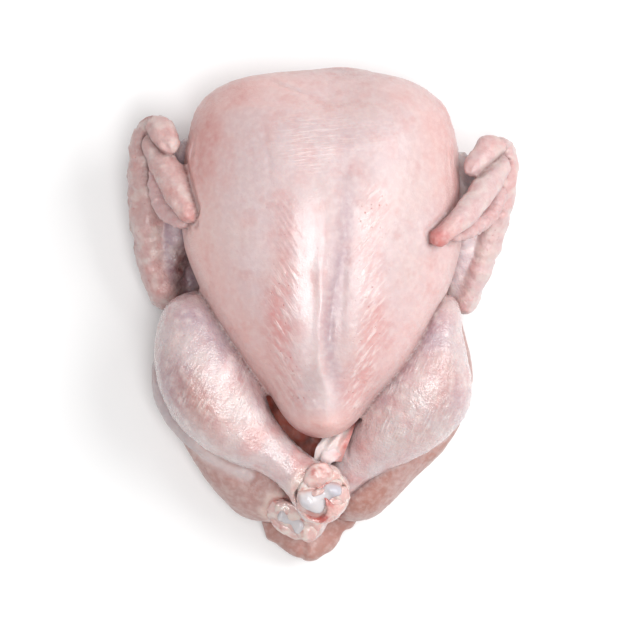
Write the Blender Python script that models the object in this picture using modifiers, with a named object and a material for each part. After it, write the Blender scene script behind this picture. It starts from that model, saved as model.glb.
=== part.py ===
"""A whole raw chicken, plucked and drawn, lying on its back with the breast up.

The shanks cross over the open vent, the wings are folded beside the breast and the neck skin is
tucked under. Skin and meat are one solid with the body cavity open at the vent. The two bone ends
that show where the feet were cut off are solids of their own, each with its stub in the shank.
+Y points to the neck and +Z up. The origin is under the middle of the bird, on the table. Left is
the side towards -X and right the side towards +X.
"""

import math

import bmesh
import bpy
import numpy as np

MM = 0.001

# Every limb is a row of stations in millimetres: x, y, z of its middle line, then how far the
# flesh stands out to the side, upwards and downwards from that line.
TRUNK = [
    (0, 130.5, 60, 60, 40, 30),
    (0, 120, 61, 65, 45, 38),
    (0, 108, 61, 69, 48, 50),
    (0, 88, 61, 75, 51, 60),
    (0, 66, 61, 76, 52, 62),
    (0, 40, 61, 76, 52, 63),
    (0, 15, 62, 67, 50, 62),
    (0, -10, 63, 54, 46, 50),
    (-1, -32, 64, 39, 39, 28),
    (-2, -48, 66, 25, 31, 19),
    (-3, -66, 67, 16.5, 22, 13),
]
# By what share each side of the trunk is wider than its stations, along y: both shoulders are
# square, and the right one is tucked in below.
SHOULDER_SWELL = {
    "left": ([95, 112, 120, 127], [0, 0.03, 0.08, 0.16]),
    "right": ([10, 50, 80, 108, 118, 127], [0, -0.045, -0.045, -0.035, -0.01, 0.06]),
}
# A layer of neck skin that lies folded over the end of the breast.
NECK_LAYER = [
    (-22, 117, 58, 8, 10, 12),
    (-8, 121, 60, 10.5, 12, 14),
    (12, 122, 60, 11, 12, 14),
    (30, 118.5, 58, 10, 11, 13),
    (44, 112.5, 54, 8, 10, 10),
]
# The breast's relief along y: where the keel runs, how deep and how wide the valley is that parts
# the two lobes, and how high the keel stands in it.
KEEL_LINE = ([-55, -20, 60, 130], [1, 0, 3, 6])
VALLEY_DEPTH = ([-56, -44, -25, 10, 60, 100, 132], [0, 3, 8, 10, 9, 7, 10])
VALLEY_WIDTH = ([-50, 10, 60, 132], [9, 14, 17, 24])
KEEL_HEIGHT = ([-66, -55, -42, -20, 30, 70, 90], [0, 4, 6, 7, 6, 2, 0])
KEEL_WIDTH = 5
RELIEF_FROM = 66
RELIEF_FADE = 16
PELVIS = [
    (0, 100, 32, 46, 24, 34),
    (0, 60, 28, 56, 28, 31),
    (0, 20, 27, 58, 27, 30),
    (-1, -20, 27, 54, 26, 30),
    (-2, -60, 25, 48, 24, 28),
    (-4, -88, 21, 38, 20, 23),
    (-5, -110, 17, 27, 15, 18),
]
TAIL = [
    (-4, -84, 15, 24, 10, 15),
    (-8, -104, 14, 28, 10, 13),
    (-11, -116, 14, 24.5, 10, 12),
    (-10.4, -124.5, 15, 19.5, 9, 11),
    (-10.8, -131, 16, 13, 8, 9.5),
    (-11.5, -136.5, 16, 8, 6.5, 7.5),
]
NECK_FLAP = [
    (-46, 100, 40, 8, 14, 18),
    (-30, 112, 38, 11, 22, 24),
    (2, 119, 38, 12, 27, 28),
    (34, 113, 38, 11, 22, 24),
    (50, 101, 40, 8, 14, 18),
]
THIGHS = {
    "left": [
        (-21, -112, 24, 15, 18, 20),
        (-29, -98, 26, 22, 22, 25),
        (-41, -78, 28, 27, 27, 29),
        (-53, -53, 31, 30, 30, 31),
        (-61, -30, 36, 28, 28, 32),
        (-66, -8, 44, 22, 22, 26),
        (-69, 8, 50, 14, 14, 18),
    ],
    "right": [
        (6, -110.5, 24, 13, 16, 18),
        (18, -96, 26, 18.5, 20, 22),
        (31, -77, 28, 22.5, 25, 27),
        (44.5, -54.5, 31, 29, 29, 31),
        (55, -32, 36, 27, 28, 32),
        (59, -10, 43, 18, 22, 26),
        (62, 8, 49, 12, 14, 18),
    ],
}
SHANKS = {
    "left": [
        (-70, 13, 56, 11, 12, 12),
        (-71, -6, 58, 19, 20, 20),
        (-68, -25, 60, 23.5, 24, 24),
        (-60, -42, 61, 25, 25, 24),
        (-49, -56, 61, 22, 22, 21),
        (-37, -67, 62, 16.5, 17, 17),
        (-25, -76, 63, 12, 13, 13),
        (-14, -85, 64, 12, 12, 12),
        (-5, -93, 65, 15, 12.5, 12.5),
        (2, -100, 65, 16.5, 12.5, 12),
        (9, -107, 64, 14, 10, 10),
    ],
    "right": [
        (65, 12, 54, 9.5, 12, 12),
        (61.5, -6, 57, 13, 17, 17),
        (59, -24, 58, 19, 22, 22),
        (55.5, -39, 58, 24.5, 24, 23),
        (46, -51.5, 57, 24, 22, 21),
        (35.5, -62.5, 54, 20.5, 18, 18),
        (25, -72.5, 50, 15.5, 14, 14),
        (12.5, -85, 44, 12, 12, 12),
        (-4, -99, 38, 13, 12, 12),
        (-12, -107, 36, 16, 12, 12),
        (-18, -113, 35, 17, 11, 11),
        (-23, -119, 35, 14, 9, 9),
    ],
}
# The loose fold of skin along the outer underside of each shank.
LEG_FOLDS = {
    "left": [
        (-89, -20, 46, 5, 10, 10),
        (-87, -44, 43, 6, 10, 10),
        (-75, -64, 42, 6, 10, 10),
        (-56, -79, 44, 6, 9, 9),
        (-36, -88, 48, 5, 8, 8),
    ],
    "right": [
        (74, -20, 45, 5, 10, 10),
        (74, -42, 43, 6, 10, 10),
        (67, -58, 42, 6, 10, 10),
        (55, -69, 42, 6, 9, 9),
        (40, -75.5, 43, 6, 8, 8),
        (25, -82, 43, 5, 7, 7),
    ],
}
WINGS = {
    "left": {
        "upper_arm": [
            (-52, 84, 48, 17, 17, 17),
            (-70, 63, 42, 14, 15, 16),
            (-82, 38, 34, 9.5, 13, 14),
            (-87, 16, 27, 9, 12, 13),
            (-86, 3, 24, 8, 10, 12),
        ],
        "forearm": [
            (-84, 3, 27, 8, 11, 14),
            (-90, 18, 31, 9, 12, 14),
            (-95, 40, 37, 9, 12, 15),
            (-97, 62, 44, 9, 11, 15),
            (-96, 80, 51, 10, 11, 13),
            (-92, 96, 56, 11, 10, 12),
            (-85, 104, 57, 9, 8, 10),
        ],
        "hand": [
            (-94, 98, 60, 9, 9, 10),
            (-88.5, 86, 67, 8, 7, 8),
            (-83, 74, 74, 7.8, 6.5, 7),
            (-78, 63, 80, 7.2, 5.5, 6),
            (-69.5, 48.5, 85.5, 5.5, 4.5, 5),
        ],
        "thumb": [
            (-92, 105, 63, 7, 5, 7),
            (-87.5, 98, 70, 8, 6, 7),
            (-80.5, 85.5, 75, 6, 4.5, 5),
        ],
        "web": [
            (-64, 92, 48, 10, 8, 8),
            (-78, 80, 43, 11, 6, 6),
            (-85, 56, 35, 11, 5, 6),
            (-84, 33, 27, 14, 5, 6),
            (-82, 17, 24, 14, 5, 6),
            (-80, 5, 23, 10, 5, 6),
        ],
        "trailing_skin": [
            (-92, 84, 60, 4, 4, 6),
            (-89.5, 67, 64, 5, 4, 6),
            (-84, 55, 70, 6, 3.5, 5),
            (-72.5, 47.5, 79, 4, 3.5, 4.5),
        ],
    },
    "right": {
        "upper_arm": [
            (52, 80, 48, 17, 17, 17),
            (66, 58, 42, 16, 16, 16),
            (75, 36, 33, 11, 12, 14),
            (76, 14, 27, 10, 11, 13),
            (74, 1, 23, 8, 10, 12),
        ],
        "forearm": [
            (74, 1, 27, 8, 11, 14),
            (81, 17, 31, 6.5, 12, 14),
            (88.5, 36, 37, 7, 12, 15),
            (93, 56, 44, 8, 11, 15),
            (93.5, 72, 51, 10, 11, 13),
            (92.5, 85, 57, 11, 10, 12),
            (87, 92, 58, 9, 8, 10),
        ],
        "hand": [
            (94, 85, 62, 9, 9, 10),
            (90, 76.5, 71, 8, 7.5, 8),
            (83.5, 65, 80, 7.5, 6.5, 7),
            (72.5, 51.5, 91, 6.8, 5.5, 6),
            (56, 37, 101, 4.5, 4, 4.5),
        ],
        "thumb": [
            (91.5, 95, 64, 8, 5, 7),
            (87.5, 87, 72, 8.5, 6, 7),
            (75, 74.5, 79, 5.5, 4.5, 5),
        ],
        "web": [
            (66, 86, 48, 10, 8, 8),
            (73, 76, 42, 12, 6, 6),
            (82, 52, 39, 12, 5, 6),
            (81, 26, 33, 9, 5, 6),
            (78, 10, 28, 6, 5, 6),
        ],
        "trailing_skin": [
            (95, 68, 64, 4, 4, 6),
            (90.5, 57, 69, 4.5, 4, 6),
            (81, 47.5, 78, 5, 4, 6),
            (66, 40, 92, 3.5, 3.5, 4.5),
        ],
    },
}
# The pad of skin and tendon on the left hock, and the membrane that hangs between the breast's
# tip and the left shank.
HOCK_PAD = [
    (-5, -84, 69, 5, 5, 5),
    (2, -85, 72, 6.5, 6, 6),
    (8, -88, 70, 5, 5, 5),
]
VENT_FLAP = [
    (10, -57, 52, 5, 2.2, 2.2),
    (7.5, -66, 55, 6.5, 2.2, 2.2),
    (3.5, -73, 59, 6.5, 2.2, 2.2),
    (0, -80, 62, 6, 2.2, 2.2),
]
CAVITY = [
    (-8, -112, 38, 14, 15, 14),
    (-4, -92, 38, 21, 20, 21),
    (-2, -64, 39, 31, 25, 26),
    (0, -28, 44, 42, 26, 32),
    (0, 12, 48, 46, 27, 35),
    (0, 48, 50, 40, 24, 31),
    (0, 84, 50, 22, 15, 18),
]
# The bone end of each shank: two rounded condyles side by side, the bridge between them, and the
# stub of bone that runs back up the shank.
BONE_ENDS = {
    "left": {
        "condyle_outer": [
            (-14, -93, 70, 5, 5, 5),
            (-8, -98, 73.5, 8, 6.5, 6),
            (-1, -108, 72, 4.5, 5, 5),
        ],
        "condyle_inner": [
            (1, -91, 72, 5, 4.5, 4.5),
            (6, -94, 73.5, 6.5, 5.5, 5.5),
            (11, -98, 70, 4.5, 4.5, 4.5),
        ],
        "bridge": [
            (-8, -98, 71, 6, 5, 6),
            (0, -98, 70.5, 8, 5, 6),
            (7, -95, 70, 6, 5, 5.5),
        ],
        "stub": [
            (2, -97, 66, 6, 5, 5),
            (-8, -89, 65, 5, 5, 5),
            (-24, -76, 63, 4.5, 4.5, 4.5),
        ],
    },
    "right": {
        "condyle_outer": [
            (-20, -102, 41, 4.5, 4.5, 4.5),
            (-24, -107, 43, 6.5, 6, 5),
            (-27, -113, 40, 4.5, 4.5, 4.5),
        ],
        "condyle_inner": [
            (-9, -112, 42, 4.5, 4.5, 4.5),
            (-14, -116, 43, 7, 6, 5),
            (-20, -120, 40, 4.5, 4.5, 4.5),
        ],
        "bridge": [
            (-24, -108, 40, 6, 5, 5),
            (-19, -112, 39, 6, 4, 5),
            (-14, -115, 40, 6, 5, 5),
        ],
        "stub": [
            (-19, -110, 37, 6, 5, 5),
            (-6, -100, 38, 5, 5, 5),
            (10, -88, 43, 4.5, 4.5, 4.5),
        ],
    },
}

# How finely a body is drawn out, how far its two rounded ends reach in mm, how blunt those ends
# are and how square its sections are (2 is an ellipse).
TRUNK_SHAPE = {"rings": 96, "segments": 96, "caps": (25, 17), "power": 2.2, "square": 2.1}
PELVIS_SHAPE = {"rings": 48, "segments": 40, "caps": (20, 12), "square": 2.4}
FLAP_SHAPE = {"caps": (14, 14)}
THIGH_SHAPE = {"rings": 48, "segments": 40}
SHANK_SHAPE = {"rings": 64, "segments": 40}
CAVITY_SHAPE = {"rings": 48, "segments": 40, "caps": (6, 22), "square": 2.2}
BONE_SHAPE = {"rings": 20, "segments": 20}

SKIN_VOXEL = 1.7 * MM
BONE_VOXEL = 0.8 * MM
SKIN_TRIANGLES = 9000
BONE_TRIANGLES = 440
BONE_GAP = 0.35 * MM
REST_CUT = 2.0 * MM

SKIN_COLOUR = (0.86, 0.62, 0.57, 1.0)
BONE_COLOUR = (0.80, 0.79, 0.80, 1.0)


def clear_scene():
    """Start from an empty scene."""
    for item in list(bpy.data.objects):
        bpy.data.objects.remove(item)


def smooth_line(stations, samples=240):
    """Catmull-Rom curve through the stations, with the share of its length at each sample."""
    rows = np.array(stations, float)
    rows = np.vstack([2 * rows[0] - rows[1], rows, 2 * rows[-1] - rows[-2]])
    along = np.linspace(0, len(rows) - 3 - 1e-9, samples)
    cell = along.astype(int)
    t = (along - cell)[:, None]
    a, b, c, d = (rows[cell + k] for k in range(4))
    curve = 0.5 * (
        2 * b + (c - a) * t + (2 * a - 5 * b + 4 * c - d) * t**2 + (3 * b - a - 3 * c + d) * t**3
    )
    steps = np.linalg.norm(np.diff(curve[:, :3], axis=0), axis=1)
    length = np.concatenate([[0], np.cumsum(steps)])
    return curve, length


def end_rounding(distance, reach, power):
    """Share of the full section at a distance from a rounded end."""
    inside = np.clip(1 - distance / reach, 0, 1)
    return (1 - inside**power) ** (1 / power)


def drawn_out(name, stations, rings=40, segments=28, caps=None, power=2.0, square=2.0):
    """A UV sphere drawn out along the stations: its latitudes become the sections.

    caps holds the reach in mm of each rounded end, square is the sections' superellipse power.
    """
    mesh = bpy.data.meshes.new(name)
    cage = bmesh.new()
    bmesh.ops.create_uvsphere(cage, u_segments=segments, v_segments=rings, radius=1.0)
    cage.to_mesh(mesh)
    cage.free()
    ball = np.empty(len(mesh.vertices) * 3)
    mesh.vertices.foreach_get("co", ball)
    ball = ball.reshape(-1, 3)

    curve, length = smooth_line(stations)
    place = (1 - ball[:, 2]) / 2 * length[-1]
    line = np.stack([np.interp(place, length, column) for column in curve.T], axis=1)
    heading = np.gradient(curve[:, :3], length, axis=0)
    heading = np.stack([np.interp(place, length, column) for column in heading.T], axis=1)
    heading /= np.linalg.norm(heading, axis=1, keepdims=True)
    side = np.cross(heading, (0.0, 0.0, 1.0))
    side /= np.linalg.norm(side, axis=1, keepdims=True)
    lift = np.cross(side, heading)

    first, last = caps or (max(stations[0][3:5]), max(stations[-1][3:5]))
    full = end_rounding(place, first, power) * end_rounding(length[-1] - place, last, power)
    turn = np.arctan2(ball[:, 1], ball[:, 0])
    across = np.sign(np.cos(turn)) * np.abs(np.cos(turn)) ** (2 / square)
    above = np.sign(np.sin(turn)) * np.abs(np.sin(turn)) ** (2 / square)
    rise = np.where(above > 0, line[:, 4], line[:, 5])
    points = line[:, :3] + side * (across * full * line[:, 3])[:, None]
    points += lift * (above * full * rise)[:, None]
    mesh.vertices.foreach_set("co", (points * MM).ravel())
    mesh.update()

    body = bpy.data.objects.new(name, mesh)
    bpy.context.scene.collection.objects.link(body)
    recalculate(mesh)
    return body


def recalculate(mesh):
    """Turn all faces outwards."""
    work = bmesh.new()
    work.from_mesh(mesh)
    bmesh.ops.recalc_face_normals(work, faces=work.faces[:])
    work.to_mesh(mesh)
    work.free()


def points_of(mesh):
    """Vertex positions in millimetres as an array."""
    flat = np.empty(len(mesh.vertices) * 3)
    mesh.vertices.foreach_get("co", flat)
    return flat.reshape(-1, 3) / MM


def set_points(mesh, points):
    """Write vertex positions in millimetres back."""
    mesh.vertices.foreach_set("co", (points * MM).ravel())
    mesh.update()


def bump(value, middle, width):
    """Gaussian bell of height one."""
    return np.exp(-(((value - middle) / width) ** 2))


def shape_breast(trunk):
    """Part the breast into two lobes, stand the keel between them and square the shoulders."""
    points = points_of(trunk.data)
    x, y, z = points.T
    line = np.interp(y, *KEEL_LINE)
    upper = np.clip((z - RELIEF_FROM) / RELIEF_FADE, 0, 1)
    swell = np.where(x < 0, np.interp(y, *SHOULDER_SWELL["left"]), np.interp(y, *SHOULDER_SWELL["right"]))
    z += upper * np.interp(y, *KEEL_HEIGHT) * bump(x, line, KEEL_WIDTH)
    z -= upper * np.interp(y, *VALLEY_DEPTH) * bump(x, line, np.interp(y, *VALLEY_WIDTH))
    x += x * swell
    set_points(trunk.data, points)


def merged(name, bodies):
    """One object holding all the bodies' meshes, which are then removed."""
    work = bmesh.new()
    for body in bodies:
        work.from_mesh(body.data)
    mesh = bpy.data.meshes.new(name)
    work.to_mesh(mesh)
    work.free()
    for body in bodies:
        bpy.data.objects.remove(body)
    whole = bpy.data.objects.new(name, mesh)
    bpy.context.scene.collection.objects.link(whole)
    return whole


def apply_modifiers(body):
    """Replace the object's mesh by its evaluated one."""
    graph = bpy.context.evaluated_depsgraph_get()
    mesh = bpy.data.meshes.new_from_object(body.evaluated_get(graph))
    body.modifiers.clear()
    body.data = mesh


def grown_together(name, bodies, voxel, rounds):
    """Fuse overlapping bodies to one skin by voxel remeshing, then relax the seams."""
    whole = merged(name, bodies)
    remesh = whole.modifiers.new("fuse", "REMESH")
    remesh.mode = "VOXEL"
    remesh.voxel_size = voxel
    relax = whole.modifiers.new("relax", "SMOOTH")
    relax.factor = 0.5
    relax.iterations = rounds
    apply_modifiers(whole)
    return whole


def cut(body, cutter):
    """Subtract the cutter, then remove it."""
    difference = body.modifiers.new("cut", "BOOLEAN")
    difference.operation = "DIFFERENCE"
    difference.solver = "EXACT"
    difference.object = cutter
    apply_modifiers(body)
    bpy.data.objects.remove(cutter)


def thinned(body, triangles):
    """Collapse edges down to a number of triangles."""
    work = bmesh.new()
    work.from_mesh(body.data)
    bmesh.ops.triangulate(work, faces=work.faces[:])
    work.to_mesh(body.data)
    work.free()
    collapse = body.modifiers.new("thin", "DECIMATE")
    collapse.ratio = triangles / len(body.data.polygons)
    apply_modifiers(body)


def keep_largest(body):
    """Drop loose scraps."""
    work = bmesh.new()
    work.from_mesh(body.data)
    work.verts.ensure_lookup_table()
    unseen = set(work.verts)
    groups = []
    while unseen:
        reached = {unseen.pop()}
        edge_of_group = list(reached)
        while edge_of_group:
            near = {e.other_vert(v) for v in edge_of_group for e in v.link_edges} - reached
            reached |= near
            edge_of_group = list(near)
        unseen -= reached
        groups.append(reached)
    groups.sort(key=len)
    scraps = [v for group in groups[:-1] for v in group]
    bmesh.ops.delete(work, geom=scraps, context="VERTS")
    work.to_mesh(body.data)
    work.free()


def flatten_base(body):
    """Cut the underside level where the bird's weight rests on the table."""
    work = bmesh.new()
    work.from_mesh(body.data)
    sides = bmesh.ops.bisect_plane(
        work,
        geom=work.verts[:] + work.edges[:] + work.faces[:],
        plane_co=(0, 0, REST_CUT),
        plane_no=(0, 0, -1),
        clear_outer=True,
    )
    rim = [item for item in sides["geom_cut"] if isinstance(item, bmesh.types.BMEdge)]
    bmesh.ops.triangle_fill(work, edges=rim, use_beauty=True, use_dissolve=False)
    bmesh.ops.recalc_face_normals(work, faces=work.faces[:])
    work.to_mesh(body.data)
    work.free()


def paint(body, name, colour, roughness):
    """Give the body one Principled finish."""
    finish = bpy.data.materials.new(name)
    finish.use_nodes = True
    shader = finish.node_tree.nodes["Principled BSDF"]
    shader.inputs["Base Color"].default_value = colour
    shader.inputs["Roughness"].default_value = roughness
    body.data.materials.clear()
    body.data.materials.append(finish)


def carcass():
    """Trunk, pelvis and thighs with the body cavity cut out of them."""
    trunk = drawn_out("trunk", TRUNK, **TRUNK_SHAPE)
    shape_breast(trunk)
    bodies = [
        trunk,
        drawn_out("pelvis", PELVIS, **PELVIS_SHAPE),
        drawn_out("neck_flap", NECK_FLAP, **FLAP_SHAPE),
        drawn_out("neck_layer", NECK_LAYER),
    ]
    bodies += [drawn_out(f"thigh_{side}", THIGHS[side], **THIGH_SHAPE) for side in THIGHS]
    whole = grown_together("carcass", bodies, SKIN_VOXEL, rounds=4)
    cut(whole, drawn_out("cavity", CAVITY, **CAVITY_SHAPE))
    return whole


def limbs():
    """Shanks, wings and tail with the loose folds, the pad and the membrane."""
    bodies = [
        drawn_out("tail", TAIL),
        drawn_out("hock_pad", HOCK_PAD),
        drawn_out("vent_flap", VENT_FLAP),
    ]
    for side in ("left", "right"):
        bodies.append(drawn_out(f"shank_{side}", SHANKS[side], **SHANK_SHAPE))
        bodies.append(drawn_out(f"leg_fold_{side}", LEG_FOLDS[side]))
        for part, stations in WINGS[side].items():
            bodies.append(drawn_out(f"{part}_{side}", stations))
    return bodies


def bone_end(side):
    """The knuckle of a shank's bone with its stub."""
    bodies = [drawn_out(part, stations, **BONE_SHAPE) for part, stations in BONE_ENDS[side].items()]
    knuckle = grown_together(f"hock_bone_{side}", bodies, BONE_VOXEL, rounds=3)
    thinned(knuckle, BONE_TRIANGLES)
    paint(knuckle, f"cartilage_{side}", BONE_COLOUR, 0.3)
    return knuckle


def socket_for(knuckle):
    """A copy of the knuckle, swollen by the gap that meat and bone keep."""
    socket = knuckle.copy()
    socket.data = knuckle.data.copy()
    bpy.context.scene.collection.objects.link(socket)
    swell = socket.modifiers.new("swell", "DISPLACE")
    swell.mid_level = 0.0
    swell.strength = BONE_GAP
    apply_modifiers(socket)
    return socket


def main():
    """Build the bird."""
    clear_scene()
    chicken = grown_together("chicken", [carcass()] + limbs(), SKIN_VOXEL, rounds=4)
    keep_largest(chicken)
    thinned(chicken, SKIN_TRIANGLES)
    flatten_base(chicken)
    knuckles = [bone_end(side) for side in BONE_ENDS]
    for knuckle in knuckles:
        cut(chicken, socket_for(knuckle))
    paint(chicken, "raw_skin", SKIN_COLOUR, 0.4)

    points = points_of(chicken.data)
    low, high = points.min(0), points.max(0)
    middle = np.array([(low[0] + high[0]) / 2, (low[1] + high[1]) / 2, low[2]])
    for body in [chicken] + knuckles:
        set_points(body.data, points_of(body.data) - middle)
        body.data.shade_smooth()
        body.data.set_sharp_from_angle(angle=math.radians(60))


main()
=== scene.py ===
"""The finish of a whole raw chicken, lying on its back and seen from straight above.

The CAD solids give the bird's shape. Here their skin is remeshed finely, creased where the limbs
press against the body, and given the keel, feather tracts, wrinkles and dimples of a plucked bird.
The two cut hocks get their joint cartilage, torn rims of skin and lumps of tissue, and the vent
gets its loose membrane.
"""

import itertools
import logging
import math
from dataclasses import dataclass
from enum import Enum

import bmesh
import bpy
import numpy as np
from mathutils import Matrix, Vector


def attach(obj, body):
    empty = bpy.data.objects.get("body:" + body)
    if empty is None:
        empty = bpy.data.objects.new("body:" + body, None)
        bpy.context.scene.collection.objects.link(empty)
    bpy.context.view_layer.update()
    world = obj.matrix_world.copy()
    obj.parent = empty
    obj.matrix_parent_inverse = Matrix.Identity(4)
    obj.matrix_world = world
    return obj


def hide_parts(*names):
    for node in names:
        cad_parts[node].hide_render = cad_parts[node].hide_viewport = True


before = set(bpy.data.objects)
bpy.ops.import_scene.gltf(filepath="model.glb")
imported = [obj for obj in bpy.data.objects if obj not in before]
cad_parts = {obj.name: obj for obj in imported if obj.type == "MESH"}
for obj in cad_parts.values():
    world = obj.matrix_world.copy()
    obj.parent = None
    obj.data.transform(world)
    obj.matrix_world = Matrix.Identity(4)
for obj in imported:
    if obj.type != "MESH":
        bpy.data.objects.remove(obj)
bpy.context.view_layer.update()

log = logging.getLogger("chicken")

MM = 0.001

# The lines of the body below are in millimetres on the drawing, whose origin lies this far from
# the frame's, because the frame's sits under the middle of the finished bird.
DRAWING_ORIGIN = np.array([-1.084, -1.67, 2.0])

# The camera looks straight down from this height. Places in the picture are given in millimetres
# on the drawing, as they project onto the level of the bird's middle height.
CAMERA_HEIGHT = 1450.0
PICTURE_LEVEL = 50.0
PICTURE_SCALE = 0.54
PICTURE_SIDE = 640
CAMERA_PLACE = np.array([-1.46, -0.99])


def linear(hex_colour: str) -> tuple[float, float, float]:
    """Turn an sRGB hex colour to linear light.

    Args:
        hex_colour: six hex digits, red first.

    Returns:
        Linear red, green and blue.
    """
    parts = [int(hex_colour[k : k + 2], 16) / 255 for k in (0, 2, 4)]
    return tuple(p / 12.92 if p <= 0.04045 else ((p + 0.055) / 1.055) ** 2.4 for p in parts)


def step_up(value: np.ndarray, low: float, high: float) -> np.ndarray:
    """Rise smoothly from 0 at low to 1 at high, as 3t^2 - 2t^3.

    Args:
        value: where to evaluate.
        low: value with result 0, which may be the larger one.
        high: value with result 1.

    Returns:
        Share between 0 and 1.
    """
    t = np.clip((value - low) / (high - low), 0, 1)
    return t * t * (3 - 2 * t)


def bell(value: np.ndarray, middle: np.ndarray | float, width: np.ndarray | float) -> np.ndarray:
    """Gaussian bell of height one, exp(-((v - middle) / width)^2)."""
    return np.exp(-(((value - middle) / width) ** 2))


def lattice(node: np.ndarray, seed: int) -> np.ndarray:
    """A fixed random value between 0 and 1 for each whole-number place in space.

    Args:
        node: whole numbers, one row of three for each place.
        seed: which set of values.

    Returns:
        One value for each row, by multiplying and mixing bits.
    """
    i, j, k = (node[..., a].astype(np.uint32) for a in range(3))
    mixed = i * np.uint32(73856093) ^ j * np.uint32(19349663) ^ k * np.uint32(83492791)
    mixed ^= np.uint32(seed * 2654435 + 97)
    mixed = (mixed ^ (mixed >> np.uint32(15))) * np.uint32(2246822519)
    mixed = (mixed ^ (mixed >> np.uint32(13))) * np.uint32(3266489917)
    return ((mixed ^ (mixed >> np.uint32(16))) & np.uint32(0xFFFF)).astype(float) / 65535


def rough(points: np.ndarray, size: float, seed: int, octaves: int = 1) -> np.ndarray:
    """Smooth random relief between about -1 and 1: lattice values blended between the corners.

    Args:
        points: places in millimetres.
        size: spacing of the lattice in millimetres.
        seed: which pattern.
        octaves: how many times the pattern is repeated at half the size and half the height.

    Returns:
        One value for each point.
    """
    total = np.zeros(len(points))
    for octave in range(octaves):
        scaled = points * (2**octave / size)
        corner = np.floor(scaled)
        part = scaled - corner
        part = part * part * (3 - 2 * part)
        value = np.zeros(len(points))
        for offset in itertools.product((0, 1), repeat=3):
            share = np.prod(np.where(offset, part, 1 - part), axis=1)
            value += share * lattice((corner + offset).astype(np.int64), seed + octave)
        total += (2 * value - 1) / 2**octave
    return total


def spots(points: np.ndarray, size: float, seed: int) -> tuple[np.ndarray, np.ndarray]:
    """Distance to the nearest of many scattered centres, one in each cell of a lattice.

    Args:
        points: places in millimetres.
        size: cell size in millimetres.
        seed: which scatter.

    Returns:
        Distance in millimetres, and a random share that belongs to the nearest centre.
    """
    scaled = points / size
    home = np.floor(scaled).astype(np.int64)
    nearest = np.full(len(points), 9.0)
    share = np.zeros(len(points))
    for offset in itertools.product((-1, 0, 1), repeat=3):
        node = home + offset
        jitter = np.stack([lattice(node, seed + k) for k in range(3)], axis=1)
        distance = np.linalg.norm(node + 0.15 + 0.7 * jitter - scaled, axis=1)
        closer = distance < nearest
        nearest = np.where(closer, distance, nearest)
        share = np.where(closer, jitter[:, 0], share)
    return nearest * size, share


def wound(along: np.ndarray, turn: np.ndarray, seed: int) -> np.ndarray:
    """Smooth random relief over two coordinates.

    Args:
        along: length along a limb, or row of a pattern, in lattice steps.
        turn: place across it, in lattice steps.
        seed: which pattern.

    Returns:
        One value between about -1 and 1 for each point.
    """
    return rough(np.stack([along, turn, np.zeros(len(along))], axis=1), 1.0, seed)


def smooth_line(rows: np.ndarray, samples: int) -> np.ndarray:
    """Catmull-Rom curve through the rows.

    Args:
        rows: stations, one a row, with any number of columns.
        samples: how many points to return.

    Returns:
        The curve's rows.
    """
    rows = np.vstack([2 * rows[0] - rows[1], rows, 2 * rows[-1] - rows[-2]])
    along = np.linspace(0, len(rows) - 3 - 1e-9, samples)
    cell = along.astype(int)
    t = (along - cell)[:, None]
    a, b, c, d = (rows[cell + k] for k in range(4))
    bend = 2 * a - 5 * b + 4 * c - d
    twist = 3 * b - a - 3 * c + d
    return 0.5 * (2 * b + (c - a) * t + bend * t**2 + twist * t**3)


class Part(Enum):
    """The parts of the body that press against each other and so leave a crease between them."""

    TRUNK = "trunk"
    SHANK_LEFT = "left shank"
    SHANK_RIGHT = "right shank"
    THIGH_LEFT = "left thigh"
    THIGH_RIGHT = "right thigh"
    ARM_LEFT = "left upper wing"
    ARM_RIGHT = "right upper wing"
    FOREARM_LEFT = "left forearm"
    FOREARM_RIGHT = "right forearm"
    HAND_LEFT = "left wing hand"
    HAND_RIGHT = "right wing hand"
    THUMB_LEFT = "left wing thumb"
    THUMB_RIGHT = "right wing thumb"
    TRAILING_LEFT = "left trailing skin"
    TRAILING_RIGHT = "right trailing skin"
    FOLD_LEFT = "left fold of leg skin"
    FOLD_RIGHT = "right fold of leg skin"
    TAIL = "tail"
    VENT = "vent membrane"


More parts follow.
